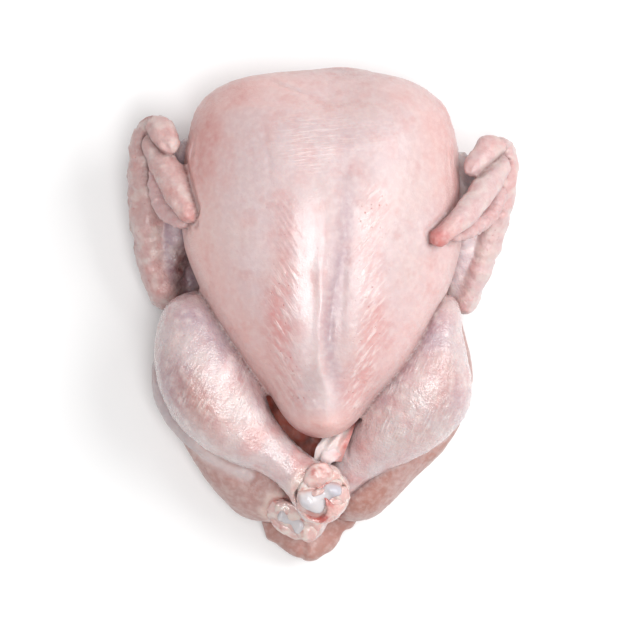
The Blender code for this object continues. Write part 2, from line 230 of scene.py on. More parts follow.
@dataclass(frozen=True)
class Limb:
    """A length of flesh round a middle line.

    Attributes:
        part: the body part it belongs to.
        stations: x, y, z of the middle line, then half-sizes to the side, upwards and downwards,
            all in millimetres on the drawing.
        ends: reach in millimetres of the two rounded ends, or None for the size of the end.
        samples: points on the curve that distances are taken to.
    """

    # Distance given to points too far off to matter, least share of the section at a rounded
    # end, and how far past an end a point may lie before that counts.
    FAR = 99.0
    LEAST_SECTION = 0.08
    END_SLACK = 0.6

    part: Part
    stations: tuple[tuple[float, ...], ...]
    ends: tuple[float, float] | None = None
    samples: int = 44

    def measure(
        self, points: np.ndarray, reach: float = 16.0
    ) -> tuple[np.ndarray, np.ndarray, np.ndarray]:
        """Distance outside the limb's surface, with the place along it and round it.

        The nearest point of the curve is found, the offset from it is split into side and lift,
        and the elliptical section there tells how far outside the point is.

        Args:
            points: places in millimetres on the drawing.
            reach: points further away than this from the limb's box get the distance FAR.

        Returns:
            Distance in millimetres, length along the line in millimetres, and turn in radians
            round it, 0 to the side and a quarter turn upwards.
        """
        curve = smooth_line(np.array(self.stations, float), self.samples)
        middle, size = curve[:, :3], curve[:, 3:]
        distance = np.full(len(points), self.FAR)
        along = np.zeros(len(points))
        turn = np.zeros(len(points))
        margin = size.max() + reach
        near = np.all((points > middle.min(0) - margin) & (points < middle.max(0) + margin), axis=1)
        if not near.any():
            return distance, along, turn
        local = points[near]
        steps = np.linalg.norm(np.diff(middle, axis=0), axis=1)
        length = np.concatenate([[0], np.cumsum(steps)])
        heading = np.gradient(middle, length, axis=0)
        heading /= np.linalg.norm(heading, axis=1, keepdims=True)
        gap = ((local**2).sum(1)[:, None] - 2 * local @ middle.T) + (middle**2).sum(1)
        best = gap.argmin(1)
        offset = local - middle[best]
        ahead = (offset * heading[best]).sum(1)
        place = np.clip(length[best] + ahead, 0, length[-1])
        section = np.stack([np.interp(place, length, column) for column in size.T], axis=1)
        line = np.stack([np.interp(place, length, column) for column in middle.T], axis=1)
        facing = np.stack([np.interp(place, length, column) for column in heading.T], axis=1)
        facing /= np.linalg.norm(facing, axis=1, keepdims=True)
        side = np.cross(facing, (0.0, 0.0, 1.0))
        side /= np.maximum(np.linalg.norm(side, axis=1, keepdims=True), 1e-6)
        lift = np.cross(side, facing)
        offset = local - line
        past = (offset * facing).sum(1)
        first, last = self.ends or (max(self.stations[0][3:5]), max(self.stations[-1][3:5]))
        full = self.rounding(place, first) * self.rounding(length[-1] - place, last)
        full = np.maximum(full, self.LEAST_SECTION)
        across = (offset * side).sum(1)
        above = (offset * lift).sum(1)
        rise = np.where(above > 0, section[:, 1], section[:, 2])
        scaled = np.sqrt((across / (section[:, 0] * full)) ** 2 + (above / (rise * full)) ** 2)
        radius = np.hypot(across, above)
        outside = radius * (1 - 1 / np.maximum(scaled, 1e-3))
        outside = np.where(scaled < 1, (scaled - 1) * np.minimum(section[:, 0], rise) * full, outside)
        beyond = np.hypot(np.maximum(outside, 0), past)
        distance[near] = np.where(np.abs(past) > self.END_SLACK, beyond, outside)
        along[near] = place
        turn[near] = np.arctan2(above, across)
        return distance, along, turn

    @staticmethod
    def rounding(distance: np.ndarray, reach: float) -> np.ndarray:
        """Share of the full section at a distance from a rounded end, a quarter circle."""
        inside = np.clip(1 - distance / reach, 0, 1)
        return np.sqrt(1 - inside**2)


BODY = (
    Limb(
        Part.TRUNK,
        (
            (0, 130.5, 60, 60, 40, 30),
            (0, 108, 61, 69, 48, 50),
            (0, 66, 61, 76, 52, 62),
            (0, 40, 61, 76, 52, 63),
            (0, 15, 62, 67, 50, 62),
            (0, -10, 63, 54, 46, 50),
            (-1, -32, 64, 39, 39, 28),
            (-2, -48, 66, 25, 31, 19),
            (-3, -66, 67, 16.5, 22, 13),
        ),
        ends=(25, 17),
    ),
    Limb(
        Part.TRUNK,
        (
            (0, 100, 32, 46, 24, 34),
            (0, 20, 27, 58, 27, 30),
            (-2, -60, 25, 48, 24, 28),
            (-5, -110, 17, 27, 15, 18),
        ),
        ends=(20, 12),
    ),
    Limb(
        Part.TRUNK,
        ((-46, 100, 40, 8, 14, 18), (2, 119, 38, 12, 27, 28), (50, 101, 40, 8, 14, 18)),
        ends=(14, 14),
    ),
    Limb(
        Part.THIGH_LEFT,
        (
            (-21, -112, 24, 15, 18, 20),
            (-29, -98, 26, 22, 22, 25),
            (-41, -78, 28, 27, 27, 29),
            (-53, -53, 31, 30, 30, 31),
            (-61, -30, 36, 28, 28, 32),
            (-69, 8, 50, 14, 14, 18),
        ),
    ),
    Limb(
        Part.THIGH_RIGHT,
        (
            (6, -110.5, 24, 13, 16, 18),
            (18, -96, 26, 18.5, 20, 22),
            (31, -77, 28, 22.5, 25, 27),
            (44.5, -54.5, 31, 29, 29, 31),
            (55, -32, 36, 27, 28, 32),
            (62, 8, 49, 12, 14, 18),
        ),
    ),
    Limb(
        Part.SHANK_LEFT,
        (
            (-70, 13, 56, 11, 12, 12),
            (-71, -6, 58, 19, 20, 20),
            (-68, -25, 60, 23.5, 24, 24),
            (-60, -42, 61, 25, 25, 24),
            (-49, -56, 61, 22, 22, 21),
            (-37, -67, 62, 16.5, 17, 17),
            (-25, -76, 63, 12, 13, 13),
            (-14, -85, 64, 12, 12, 12),
            (-5, -93, 65, 15, 12.5, 12.5),
            (2, -100, 65, 16.5, 12.5, 12),
            (9, -107, 64, 14, 10, 10),
        ),
    ),
    Limb(
        Part.SHANK_RIGHT,
        (
            (65, 12, 54, 9.5, 12, 12),
            (61.5, -6, 57, 13, 17, 17),
            (59, -24, 58, 19, 22, 22),
            (55.5, -39, 58, 24.5, 24, 23),
            (46, -51.5, 57, 24, 22, 21),
            (35.5, -62.5, 54, 20.5, 18, 18),
            (25, -72.5, 50, 15.5, 14, 14),
            (12.5, -85, 44, 12, 12, 12),
            (-4, -99, 38, 13, 12, 12),
            (-12, -107, 36, 16, 12, 12),
            (-18, -113, 35, 17, 11, 11),
            (-23, -119, 35, 14, 9, 9),
        ),
    ),
    Limb(
        Part.FOLD_LEFT,
        (
            (-89, -20, 46, 5, 10, 10),
            (-87, -44, 43, 6, 10, 10),
            (-75, -64, 42, 6, 10, 10),
            (-56, -79, 44, 6, 9, 9),
            (-36, -88, 48, 5, 8, 8),
        ),
    ),
    Limb(
        Part.FOLD_RIGHT,
        (
            (74, -20, 45, 5, 10, 10),
            (74, -42, 43, 6, 10, 10),
            (67, -58, 42, 6, 10, 10),
            (55, -69, 42, 6, 9, 9),
            (40, -75.5, 43, 6, 8, 8),
            (25, -82, 43, 5, 7, 7),
        ),
    ),
    Limb(
        Part.TAIL,
        (
            (-4, -84, 15, 24, 10, 15),
            (-8, -104, 14, 28, 10, 13),
            (-11, -116, 14, 24.5, 10, 12),
            (-10.4, -124.5, 15, 19.5, 9, 11),
            (-10.8, -131, 16, 13, 8, 9.5),
            (-11.5, -136.5, 16, 8, 6.5, 7.5),
        ),
    ),
    Limb(
        Part.VENT,
        (
            (10, -57, 52, 5, 2.2, 2.2),
            (7.5, -66, 55, 6.5, 2.2, 2.2),
            (3.5, -73, 59, 6.5, 2.2, 2.2),
            (0, -80, 62, 6, 2.2, 2.2),
        ),
    ),
    Limb(
        Part.ARM_LEFT,
        (
            (-52, 84, 48, 17, 17, 17),
            (-70, 63, 42, 14, 15, 16),
            (-82, 38, 34, 9.5, 13, 14),
            (-87, 16, 27, 9, 12, 13),
            (-86, 3, 24, 8, 10, 12),
        ),
    ),
    Limb(
        Part.ARM_LEFT,
        (
            (-64, 92, 48, 10, 8, 8),
            (-78, 80, 43, 11, 6, 6),
            (-85, 56, 35, 11, 5, 6),
            (-84, 33, 27, 14, 5, 6),
            (-80, 5, 23, 10, 5, 6),
        ),
    ),
    Limb(
        Part.FOREARM_LEFT,
        (
            (-84, 3, 27, 8, 11, 14),
            (-90, 18, 31, 9, 12, 14),
            (-95, 40, 37, 9, 12, 15),
            (-97, 62, 44, 9, 11, 15),
            (-96, 80, 51, 10, 11, 13),
            (-92, 96, 56, 11, 10, 12),
            (-85, 104, 57, 9, 8, 10),
        ),
    ),
    Limb(
        Part.HAND_LEFT,
        (
            (-94, 98, 60, 9, 9, 10),
            (-88.5, 86, 67, 8, 7, 8),
            (-83, 74, 74, 7.8, 6.5, 7),
            (-78, 63, 80, 7.2, 5.5, 6),
            (-69.5, 48.5, 85.5, 5.5, 4.5, 5),
        ),
    ),
    Limb(
        Part.THUMB_LEFT,
        ((-92, 105, 63, 7, 5, 7), (-87.5, 98, 70, 8, 6, 7), (-80.5, 85.5, 75, 6, 4.5, 5)),
    ),
    Limb(
        Part.TRAILING_LEFT,
        (
            (-92, 84, 60, 4, 4, 6),
            (-89.5, 67, 64, 5, 4, 6),
            (-84, 55, 70, 6, 3.5, 5),
            (-72.5, 47.5, 79, 4, 3.5, 4.5),
        ),
    ),
    Limb(
        Part.ARM_RIGHT,
        (
            (52, 80, 48, 17, 17, 17),
            (66, 58, 42, 16, 16, 16),
            (75, 36, 33, 11, 12, 14),
            (76, 14, 27, 10, 11, 13),
            (74, 1, 23, 8, 10, 12),
        ),
    ),
    Limb(
        Part.ARM_RIGHT,
        ((66, 86, 48, 10, 8, 8), (73, 76, 42, 12, 6, 6), (82, 52, 39, 12, 5, 6), (78, 10, 28, 6, 5, 6)),
    ),
    Limb(
        Part.FOREARM_RIGHT,
        (
            (74, 1, 27, 8, 11, 14),
            (81, 17, 31, 6.5, 12, 14),
            (88.5, 36, 37, 7, 12, 15),
            (93, 56, 44, 8, 11, 15),
            (93.5, 72, 51, 10, 11, 13),
            (92.5, 85, 57, 11, 10, 12),
            (87, 92, 58, 9, 8, 10),
        ),
    ),
    Limb(
        Part.HAND_RIGHT,
        (
            (94, 85, 62, 9, 9, 10),
            (90, 76.5, 71, 8, 7.5, 8),
            (83.5, 65, 80, 7.5, 6.5, 7),
            (72.5, 51.5, 91, 6.8, 5.5, 6),
            (56, 37, 101, 4.5, 4, 4.5),
        ),
    ),
    Limb(
        Part.THUMB_RIGHT,
        ((91.5, 95, 64, 8, 5, 7), (87.5, 87, 72, 8.5, 6, 7), (75, 74.5, 79, 5.5, 4.5, 5)),
    ),
    Limb(
        Part.TRAILING_RIGHT,
        (
            (95, 68, 64, 4, 4, 6),
            (90.5, 57, 69, 4.5, 4, 6),
            (81, 47.5, 78, 5, 4, 6),
            (66, 40, 92, 3.5, 3.5, 4.5),
        ),
    ),
)
SHANKS = (Part.SHANK_LEFT, Part.SHANK_RIGHT)
THIGHS = (Part.THIGH_LEFT, Part.THIGH_RIGHT)
FOLDS = (Part.FOLD_LEFT, Part.FOLD_RIGHT)
ARMS = (Part.ARM_LEFT, Part.ARM_RIGHT)
FOREARMS = (Part.FOREARM_LEFT, Part.FOREARM_RIGHT)
HANDS = (Part.HAND_LEFT, Part.HAND_RIGHT)
THUMBS = (Part.THUMB_LEFT, Part.THUMB_RIGHT)
TRAILING = (Part.TRAILING_LEFT, Part.TRAILING_RIGHT)
# By what share each side of the trunk is wider than its stations, along y.
SWELL_LEFT = ((95, 112, 120, 127), (0, 0.03, 0.08, 0.16))
SWELL_RIGHT = ((10, 50, 80, 108, 118, 127), (0, -0.045, -0.045, -0.035, -0.01, 0.06))
CAVITY = Limb(
    Part.TRUNK,
    (
        (-8, -112, 38, 14, 15, 14),
        (-4, -92, 38, 21, 20, 21),
        (-2, -64, 39, 31, 25, 26),
        (0, -28, 44, 42, 26, 32),
        (0, 12, 48, 46, 27, 35),
        (0, 48, 50, 40, 24, 31),
        (0, 84, 50, 22, 15, 18),
    ),
    ends=(6, 22),
)


class Survey:
    """What each point of the skin belongs to.

    Attributes:
        points: places in millimetres on the drawing.
        normals: unit vectors out of the skin.
        seen: x and y in the picture, on the picture level.
        gap: how much further the second nearest body part is than the nearest, in millimetres.
        least: distance to the nearest body part, in millimetres.
        near: distance to each part, by part.
        along: length along each part's first limb, by part.
        turn: angle round that limb, by part.
        hollow: share to which a point is inside the body cavity.
    """

    def __init__(self, points: np.ndarray, normals: np.ndarray) -> None:
        """Measure every point against every limb.

        Args:
            points: places in millimetres on the drawing.
            normals: unit vectors out of the skin.
        """
        self.points = points
        self.normals = normals
        height = points[:, 2] - DRAWING_ORIGIN[2]
        spread = (CAMERA_HEIGHT - PICTURE_LEVEL) / (CAMERA_HEIGHT - height)
        axis = CAMERA_PLACE + DRAWING_ORIGIN[:2]
        self.seen = axis + (points[:, :2] - axis) * spread[:, None]
        self.near: dict[Part, np.ndarray] = {}
        self.along: dict[Part, np.ndarray] = {}
        self.turn: dict[Part, np.ndarray] = {}
        left, right = (np.interp(points[:, 1], *swell) for swell in (SWELL_LEFT, SWELL_RIGHT))
        plain = points.copy()
        plain[:, 0] /= 1 + np.where(points[:, 0] < 0, left, right)
        for limb in BODY:
            distance, along, turn = limb.measure(plain if limb.part is Part.TRUNK else points)
            if limb.part in self.near:
                self.near[limb.part] = np.minimum(self.near[limb.part], distance)
                continue
            self.near[limb.part] = distance
            self.along[limb.part] = along
            self.turn[limb.part] = turn
        apart = dict(self.near)
        for first, second in zip(ARMS, FOREARMS):
            apart[first] = np.minimum(apart[first], apart.pop(second))
        ranked = np.sort(np.stack(list(apart.values())), axis=0)
        self.gap = ranked[1] - ranked[0]
        self.least = ranked[0]
        self.hollow = self.cavity()

    def cavity(self) -> np.ndarray:
        """Share to which a point is inside the body cavity: within its walls and under the meat."""
        distance = CAVITY.measure(self.points)[0]
        return step_up(distance, 2.5, 0.5) * step_up(self.least, -1.0, -3.5)

    def on(self, *parts: Part, soft: float = 3.0) -> np.ndarray:
        """Share to which each point belongs to one of the parts.

        Args:
            parts: the body parts.
            soft: how many millimetres the change takes.

        Returns:
            Share between 0 and 1.
        """
        mine = np.min(np.stack([self.near[p] for p in parts]), axis=0)
        others = [self.near[p] for p in self.near if p not in parts]
        rest = np.min(np.stack(others), axis=0)
        return step_up(rest - mine, -soft, soft) * (1 - self.hollow)

    def patch(self, x: float, y: float, wide: float, high: float, slant: float = 0.0) -> np.ndarray:
        """A soft oval in the picture.

        Args:
            x: middle, in millimetres.
            y: middle, in millimetres.
            wide: half-width.
            high: half-height.
            slant: turn in degrees, counterclockwise.

        Returns:
            1 in the middle, falling as a bell.
        """
        turn = math.radians(slant)
        dx, dy = self.seen[:, 0] - x, self.seen[:, 1] - y
        u = dx * math.cos(turn) + dy * math.sin(turn)
        v = dy * math.cos(turn) - dx * math.sin(turn)
        return np.exp(-((u / wide) ** 2) - (v / high) ** 2)

    def facing_up(self, low: float = 0.0, high: float = 0.5) -> np.ndarray:
        """Share to which the skin faces up."""
        return step_up(self.normals[:, 2], low, high)


@dataclass(frozen=True)
class Tract:
    """A band of slanting skin ridges where the feathers grew.

    Attributes:
        line: x and y of the band's middle in the picture, in millimetres.
        slant: direction of the ridges in degrees, counterclockwise from +x.
        half_width: of the band.
        spacing: from ridge to ridge.
        height: of a ridge.
        length: of a ridge.
        edge: power that sets how squarely the band ends.
        sharpness: power that narrows the ridges.
    """

    line: tuple[tuple[float, float], ...]
    slant: float
    half_width: float = 7.5
    spacing: float = 2.8
    height: float = 0.2
    length: float = 6.5
    edge: float = 2.6
    sharpness: float = 1.6

    def band(self, seen: np.ndarray) -> np.ndarray:
        """Share to which each place of the picture lies in the band."""
        curve = smooth_line(np.array(self.line, float), 60)
        gap = np.full(len(seen), 1e9)
        for place in curve:
            gap = np.minimum(gap, ((seen - place) ** 2).sum(1))
        return np.exp(-((np.sqrt(gap) / self.half_width) ** self.edge))

    def ridges(self, seen: np.ndarray, points: np.ndarray) -> np.ndarray:
        """Height of the ridges in millimetres: a sharpened wave across the slant, broken by noise."""
        turn = math.radians(self.slant)
        across = seen[:, 1] * math.cos(turn) - seen[:, 0] * math.sin(turn)
        lengthwise = seen[:, 0] * math.cos(turn) + seen[:, 1] * math.sin(turn)
        wobble = 0.9 * rough(points, 9, 31) + 0.35 * rough(points, 3.5, 32)
        wave = 0.5 + 0.5 * np.cos(2 * math.pi * (across + wobble) / self.spacing)
        row = np.round((across + wobble) / self.spacing)
        unbroken = step_up(wound(lengthwise / self.length, row * 1.7, 33), -0.75, 0.1)
        return self.height * wave**self.sharpness * unbroken * self.band(seen)


TRACTS = (
    Tract(
        line=((-21.6, 61), (-20.5, 28.6), (-23.8, 7), (-23.2, -14.6), (-20.5, -30.8), (-16.2, -44.3)),
        slant=-57,
    ),
    Tract(
        line=((27, 63), (24.3, 44.8), (23.2, 28.6), (26.5, 7), (25.4, -9.2), (20, -30.8), (15.7, -47)),
        slant=51,
    ),
)


@dataclass(frozen=True)
class Breast:
    """The relief of the breast, with places in the picture and heights in millimetres.

    The CAD's facets are first smoothed away by moving the skin to the rounded breast that its
    stations describe. What plucked skin shows is then cut into that: a level shelf on the left of
    the keel's sharp edge, with a shallow dip in it, and a deep groove on its right.

    Attributes:
        crest: y and x of the keel's sharp edge.
        groove: y and x of the deepest line of the groove.
        shelf_width: y and width of the shelf.
        strength: y and share of this relief along the bird.
        fall: place right of the edge, 1 on the groove's deepest line, and height below the edge.
        bank: width over which the groove's far side rises back to the rounded breast.
        smoothed: y and share to which the skin is moved to the rounded breast.
        slope: rise of the shelf towards the edge, in millimetres a millimetre.
        tip: y and x of the middle of the knob at the keel's tip.
        knob: height and width of the knob, then its middle and length along y.
        dips: depth of each soft hollow, then its place, half-sizes and slant in the picture.
        creased: share of wrinkles in each area of the neck end, then its place and half-sizes.
        wrinkle: height of a wrinkle and spacing from one to the next.
    """

    crest: tuple = (
        (-52, -48, -40, -32, -24, -13, -3, 14, 62, 100),
        (2.5, 2.5, 1.2, -1.5, -3, -2.3, -0.9, 0.2, 0.4, 1.5),
    )
    groove: tuple = (
        (-50, -38, -27, -16, -3, 16, 38, 57, 90),
        (8, 7, 4.6, 3.2, 3.6, 6.3, 11, 12.8, 13),
    )
    shelf_width: tuple = ((-40, -25, -14, 5, 40, 60, 90), (6, 9, 11.5, 17, 18, 16, 18))
    strength: tuple = (
        (-54, -46, -36, -24, -5, 52, 68, 90, 120),
        (0, 0.25, 0.55, 0.85, 1, 1, 0.5, 0.2, 0),
    )
    fall: tuple = ((0.0, 0.3, 0.7, 1.0), (0, -0.9, -2.0, -2.3))
    bank: float = 17.0
    smoothed: tuple = ((-58, -46, 88, 112), (0, 1, 1, 0))
    slope: float = 0.035
    tip: tuple = ((-50, -40, -32, -16), (2.9, 1.3, -1.4, -2.3))
    knob: tuple = (1.5, 3.6, -36, 13)
    dips: tuple = (
        (0.8, -9.5, -40, 4.5, 12, 8),
        (0.22, -9.5, 26, 2.4, 12, 14),
        (0.35, -31, 88, 1.8, 16, 6),
        (0.8, -21, 124, 13, 1.1, -20),
    )
    creased: tuple = ((1.0, -2, 102, 18, 6), (0.9, -9, 88, 13, 8), (0.4, 20, 97, 16, 8))
    wrinkle: tuple = (0.11, 1.9)

    @staticmethod
    def eased(table: tuple, blur: float) -> tuple[np.ndarray, np.ndarray]:
        """The table as a fine curve with its corners rounded over a short distance."""
        fine = np.linspace(table[0][0], table[0][-1], 400)
        value = np.interp(fine, *table)
        reach = np.arange(-30, 31) * (fine[1] - fine[0])
        weight = np.exp(-((reach / blur) ** 2))
        padded = np.pad(value, 30, mode="edge")
        return fine, np.convolve(padded, weight / weight.sum(), mode="valid")

    def rounded(self, skin: Survey) -> np.ndarray:
        """How far the skin moves to lie on the rounded breast, away from the limbs beside it."""
        free = skin.on(Part.TRUNK) * step_up(skin.gap, 2.0, 9.0) * skin.facing_up(0.35, 0.75)
        return -skin.near[Part.TRUNK] * free * np.interp(skin.points[:, 1], *self.smoothed)

    def keel(self, skin: Survey) -> np.ndarray:
        """The shelf, the keel's edge and the groove, with the shallow valley above them.

        The shelf stays nearly level where the rounded breast would bulge, so the height taken away
        there is the bulge itself. Right of the edge the skin falls to the groove, and the height
        missing on the groove's line then fades out over the far bank.
        """
        x, y = skin.seen.T
        curve = smooth_line(np.array(BODY[0].stations, float), 60)[::-1]
        half = np.interp(y, curve[:, 1], curve[:, 3])
        rise = np.interp(y, curve[:, 1], curve[:, 4])
        edge = np.interp(y, *self.eased(self.crest, 5))
        deepest = np.maximum(np.interp(y, *self.eased(self.groove, 5)), edge + 2.5)
        wide = np.interp(y, *self.shelf_width)
        across = x - edge

        def bulge(place: np.ndarray) -> np.ndarray:
            """Height of the rounded breast at an x."""
            return rise * np.sqrt(np.clip(1 - (place / half) ** 2, 0.05, 1))

        level = bulge(edge - wide)
        soft = step_up(across / wide, -1.25, -0.7)
        shelf = (level - bulge(x) + self.slope * (across + wide)) * soft
        drop = np.interp(across / (deepest - edge), *self.eased(self.fall, 0.08))
        lip = self.slope * wide
        side = level - bulge(x) + lip + drop
        missing = level - bulge(deepest) + lip + self.fall[1][-1]
        bank = missing * (1 - step_up(x, deepest - 1.5, deepest + self.bank))
        height = np.where(across < 0, shelf, np.where(x < deepest, side, bank))
        valley = 1.4 * bell(x, 7, 24) * step_up(y, 50, 90)
        return np.interp(y, *self.eased(self.strength, 4)) * height - valley

    def relief(self, skin: Survey) -> np.ndarray:
        """The keel with its groove, the knob at the tip and the soft hollows, in millimetres.

        Args:
            skin: the surveyed skin.

        Returns:
            Height for each point.
        """
        x, y = skin.seen.T
        height = self.keel(skin)
        knob, wide, middle, reach = self.knob
        height += knob * bell(x, np.interp(y, *self.tip), wide) * bell(y, middle, reach)
        for depth, *oval in self.dips:
            height -= depth * skin.patch(*oval)
        return height * skin.on(Part.TRUNK) * skin.facing_up(0.1, 0.6)

    def wrinkles(self, skin: Survey) -> np.ndarray:
        """Fine wrinkles across the neck end: waves along y, bent and broken by noise."""
        x, y = skin.seen.T
        bent = y - 0.22 * np.abs(x - 4) + 1.2 * rough(skin.points, 14, 41)
        height, spacing = self.wrinkle
        wave = height * np.cos(2 * math.pi * bent / spacing)
        broken = step_up(rough(skin.points * (0.3, 1.6, 1), 5, 42), -0.1, 0.6)
        area = np.minimum(sum(share * skin.patch(*oval) for share, *oval in self.creased), 1)
        return wave * broken * area * skin.on(Part.TRUNK) * skin.facing_up(0.3, 0.8)


class Relief:
    """Everything that stands out of or sinks into the plain skin, in millimetres."""

    CREASE_DEPTH = 1.6
    CREASE_WIDTH = 1.8
    BED_DEPTH = 0.7
    BED_WIDTH = 3.6
    # Spacing and height of the domes over the feather roots, and of the shanks' coarser pebbles.
    DOMES = (3.5, 0.3)
    PEBBLES = (5.2, 0.32)
    # Spacing and height of the slanting folds on the calf.
    CALF_FOLDS = (2.5, 0.34)
    # Length along a wing of its broad rolls, its narrow ribs and the fan's ridges.
    ROLL_LENGTH = 7
    RIB_LENGTH = 2.4
    FAN_LENGTH = 1.6

    def __init__(self, skin: Survey) -> None:
        """Keep the surveyed skin."""
        self.skin = skin
        self.breast = Breast()

    def creases(self) -> np.ndarray:
        """A valley where two parts press together: it follows the places equally near to both."""
        skin = self.skin
        tight = bell(skin.gap, 0, self.CREASE_WIDTH)
        wide = bell(skin.gap, 0, self.BED_WIDTH)
        return -(self.CREASE_DEPTH * tight + self.BED_DEPTH * wide) * (1 - skin.hollow)

    def muscles(self) -> np.ndarray:
        """Soft swellings of meat and fat under the skin, coarser on the body than on the limbs."""
        points = self.skin.points
        height = 0.55 * rough(points, 26, 1) + 0.22 * rough(points, 9, 2) + 0.06 * rough(points, 3.2, 3)
        limbs = self.skin.on(*THIGHS, *ARMS, *FOREARMS)
        return height + limbs * 0.22 * rough(points, 6, 4)

    def goose_flesh(self) -> np.ndarray:
        """Small domes over the feather roots on the shoulders, the shanks and the wings' edges."""
        skin = self.skin
        points = skin.points
        spacing, rise = self.DOMES
        distance, share = spots(points, spacing, 11)
        dome = step_up(distance, 1.7, 0.3) * (0.5 + 0.5 * share)
        steep = step_up(skin.normals[:, 2], 0.75, 0.35)
        neck = step_up(points[:, 1], 20, 70) * step_up(np.abs(points[:, 0]), 40, 60)
        wings = skin.on(*FOREARMS, *TRAILING, *ARMS)
        flanks = skin.on(*THIGHS, Part.TAIL)
        fine = rise * dome * (skin.on(Part.TRUNK) * steep * neck + 0.9 * wings + 0.5 * flanks)
        spacing, rise = self.PEBBLES
        distance, share = spots(points, spacing, 12)
        pebble = step_up(distance, 2.4, 0.4) * (0.4 + 0.6 * share)
        return fine + rise * pebble * skin.on(*SHANKS)

    def shank_folds(self) -> np.ndarray:
        """Blotchy swellings and fine slanting folds round the shanks, closer at the hock.

        The folds are waves along the shank whose phase also grows with the turn round it, so they
        run like a screw thread, bent and broken by noise.
        """
        skin = self.skin
        points = skin.points
        height = 0.3 * rough(points, 5.5, 55) + 0.14 * rough(points, 2.6, 56)
        height *= skin.on(*SHANKS)
        spacing, rise = self.CALF_FOLDS
        for part, seed, lead in ((Part.SHANK_LEFT, 51, 9.0), (Part.SHANK_RIGHT, 52, -9.0)):
            along, turn = skin.along[part], skin.turn[part]
            bent = along + lead * turn + 2.2 * rough(points, 11, seed) + 0.5 * rough(points, 3, seed + 1)
            wave = 0.5 + 0.5 * np.cos(2 * math.pi * bent / spacing)
            broken = step_up(rough(points, 6, seed + 2), -0.2, 0.7)
            calf = bell(along, 58, 24)
            height += rise * skin.on(part) * calf * wave * broken
            folds = wound(along / 2.4, turn * 1.6, seed + 3)
            lengthwise = wound(along / 8, turn * 7, seed + 5)
            ankle = step_up(along, 84, 108)
            height += skin.on(part) * ankle * (0.2 * folds + 0.2 * lengthwise)
        return height

    def wing_folds(self) -> np.ndarray:
        """Rolls and wrinkles of loose skin on the wings, and the fan's ridges behind the hands."""
        skin = self.skin
        points = skin.points
        height = np.zeros(len(points))
        for number, part in enumerate((*FOREARMS, *HANDS, *THUMBS, *ARMS)):
            along, turn = skin.along[part], skin.turn[part]
            rolls = wound(along / self.ROLL_LENGTH, turn * 1.6, 61 + number)
            ribs = wound(along / self.RIB_LENGTH, turn * 0.9, 81 + number)
            slack = 1.0 if part in FOREARMS or part in ARMS else 0.6
            height += skin.on(part) * slack * (0.9 * rolls + 0.45 * ribs)
        for number, part in enumerate(TRAILING):
            ribs = wound(skin.along[part] / self.FAN_LENGTH, skin.turn[part], 91 + number)
            height += skin.on(part, soft=1.5) * 0.5 * ribs
        lumps = 0.6 * (0.5 - np.abs(rough(points, 5.5, 95))) + 0.25 * rough(points, 2.6, 96)
        return height + lumps * skin.on(*FOREARMS, *ARMS, *THUMBS, *TRAILING)

    def tail_groove(self) -> np.ndarray:
        """The cleft down the middle of the tail and its soft rolls."""
        skin = self.skin
        cleft = 1.6 * skin.patch(-11.5, -127, 2.2, 7, -12)
        rolls = 0.5 * rough(skin.points, 7, 71)
        return (rolls - cleft) * skin.on(Part.TAIL, soft=1.5)

    def cavity_walls(self) -> np.ndarray:
        """Ribs, fat and torn membrane inside the body."""
        skin = self.skin
        distance, share = spots(skin.points, 9, 101)
        lumps = step_up(distance, 6, 0) * (0.5 + 0.5 * share)
        return skin.hollow * (2.4 * lumps + 0.3 * rough(skin.points, 4, 102))

    def total(self) -> np.ndarray:
        """All reliefs added up."""
        skin = self.skin
        height = self.creases() + self.muscles() + self.goose_flesh() + self.shank_folds()
        height += self.wing_folds() + self.tail_groove() + self.cavity_walls()
        height += self.breast.relief(skin) + self.breast.wrinkles(skin)
        trunk = skin.on(Part.TRUNK) * skin.facing_up(0.1, 0.5)
        for tract in TRACTS:
            height += trunk * tract.ridges(skin.seen, skin.points)
        return height


# Settings that many nodes share: a smooth clamped range, a blend of two colours and a product.
SMOOTH = {"interpolation_type": "SMOOTHSTEP"}
COLOURS = {"data_type": "RGBA", "out": 2}
TIMES = {"operation": "MULTIPLY"}


class Finish:
    """A procedural material made node by node."""

    def __init__(self, name: str) -> None:
        """Start an empty material with an output.

        Args:
            name: the real material and how its surface was made.
        """
        self.material = bpy.data.materials.new(name)
        self.material.use_nodes = True
        self.tree = self.material.node_tree
        self.tree.nodes.clear()

    def add(
        self, kind: str, inputs: dict | tuple = (), out: int | str = 0, **settings: object
    ) -> bpy.types.NodeSocket | None:
        """Add a node with its settings, and set or link its inputs.

        Args:
            kind: the node's type after ShaderNode.
            inputs: socket name or number to a value, a linear colour or another node's output, or
                a row of such values for the first sockets.
            out: name or number of the output that is wanted.
            settings: the node's properties.

        Returns:
            The output's socket, or None for a node without outputs.
        """
        node = self.tree.nodes.new("ShaderNode" + kind)
        for name, value in settings.items():
            setattr(node, name, value)
        for key, value in inputs.items() if isinstance(inputs, dict) else enumerate(inputs):
            socket = node.inputs[key]
            if isinstance(value, bpy.types.NodeSocket):
                self.tree.links.new(value, socket)
            else:
                socket.default_value = (*value, 1.0) if socket.type == "RGBA" else value
        return node.outputs[out] if len(node.outputs) else None


@dataclass(frozen=True)
class Streak:
    """Fine stretched ridges in the skin.

    Attributes:
        mask: name of the mesh's attribute that says where they are.
        slant: their direction in degrees, counterclockwise from +x.
        length: of a ridge, in metres.
        width: from ridge to ridge, in metres.
        pale: share of cream on the ridges, partly their paler skin and partly a painted highlight along
            them.
        deep: share of red between them.
        lift: how far they stand out, as a share of the bump's full height.
    """

    mask: str
    slant: float
    length: float
    width: float
    pale: float
    deep: float
    lift: float


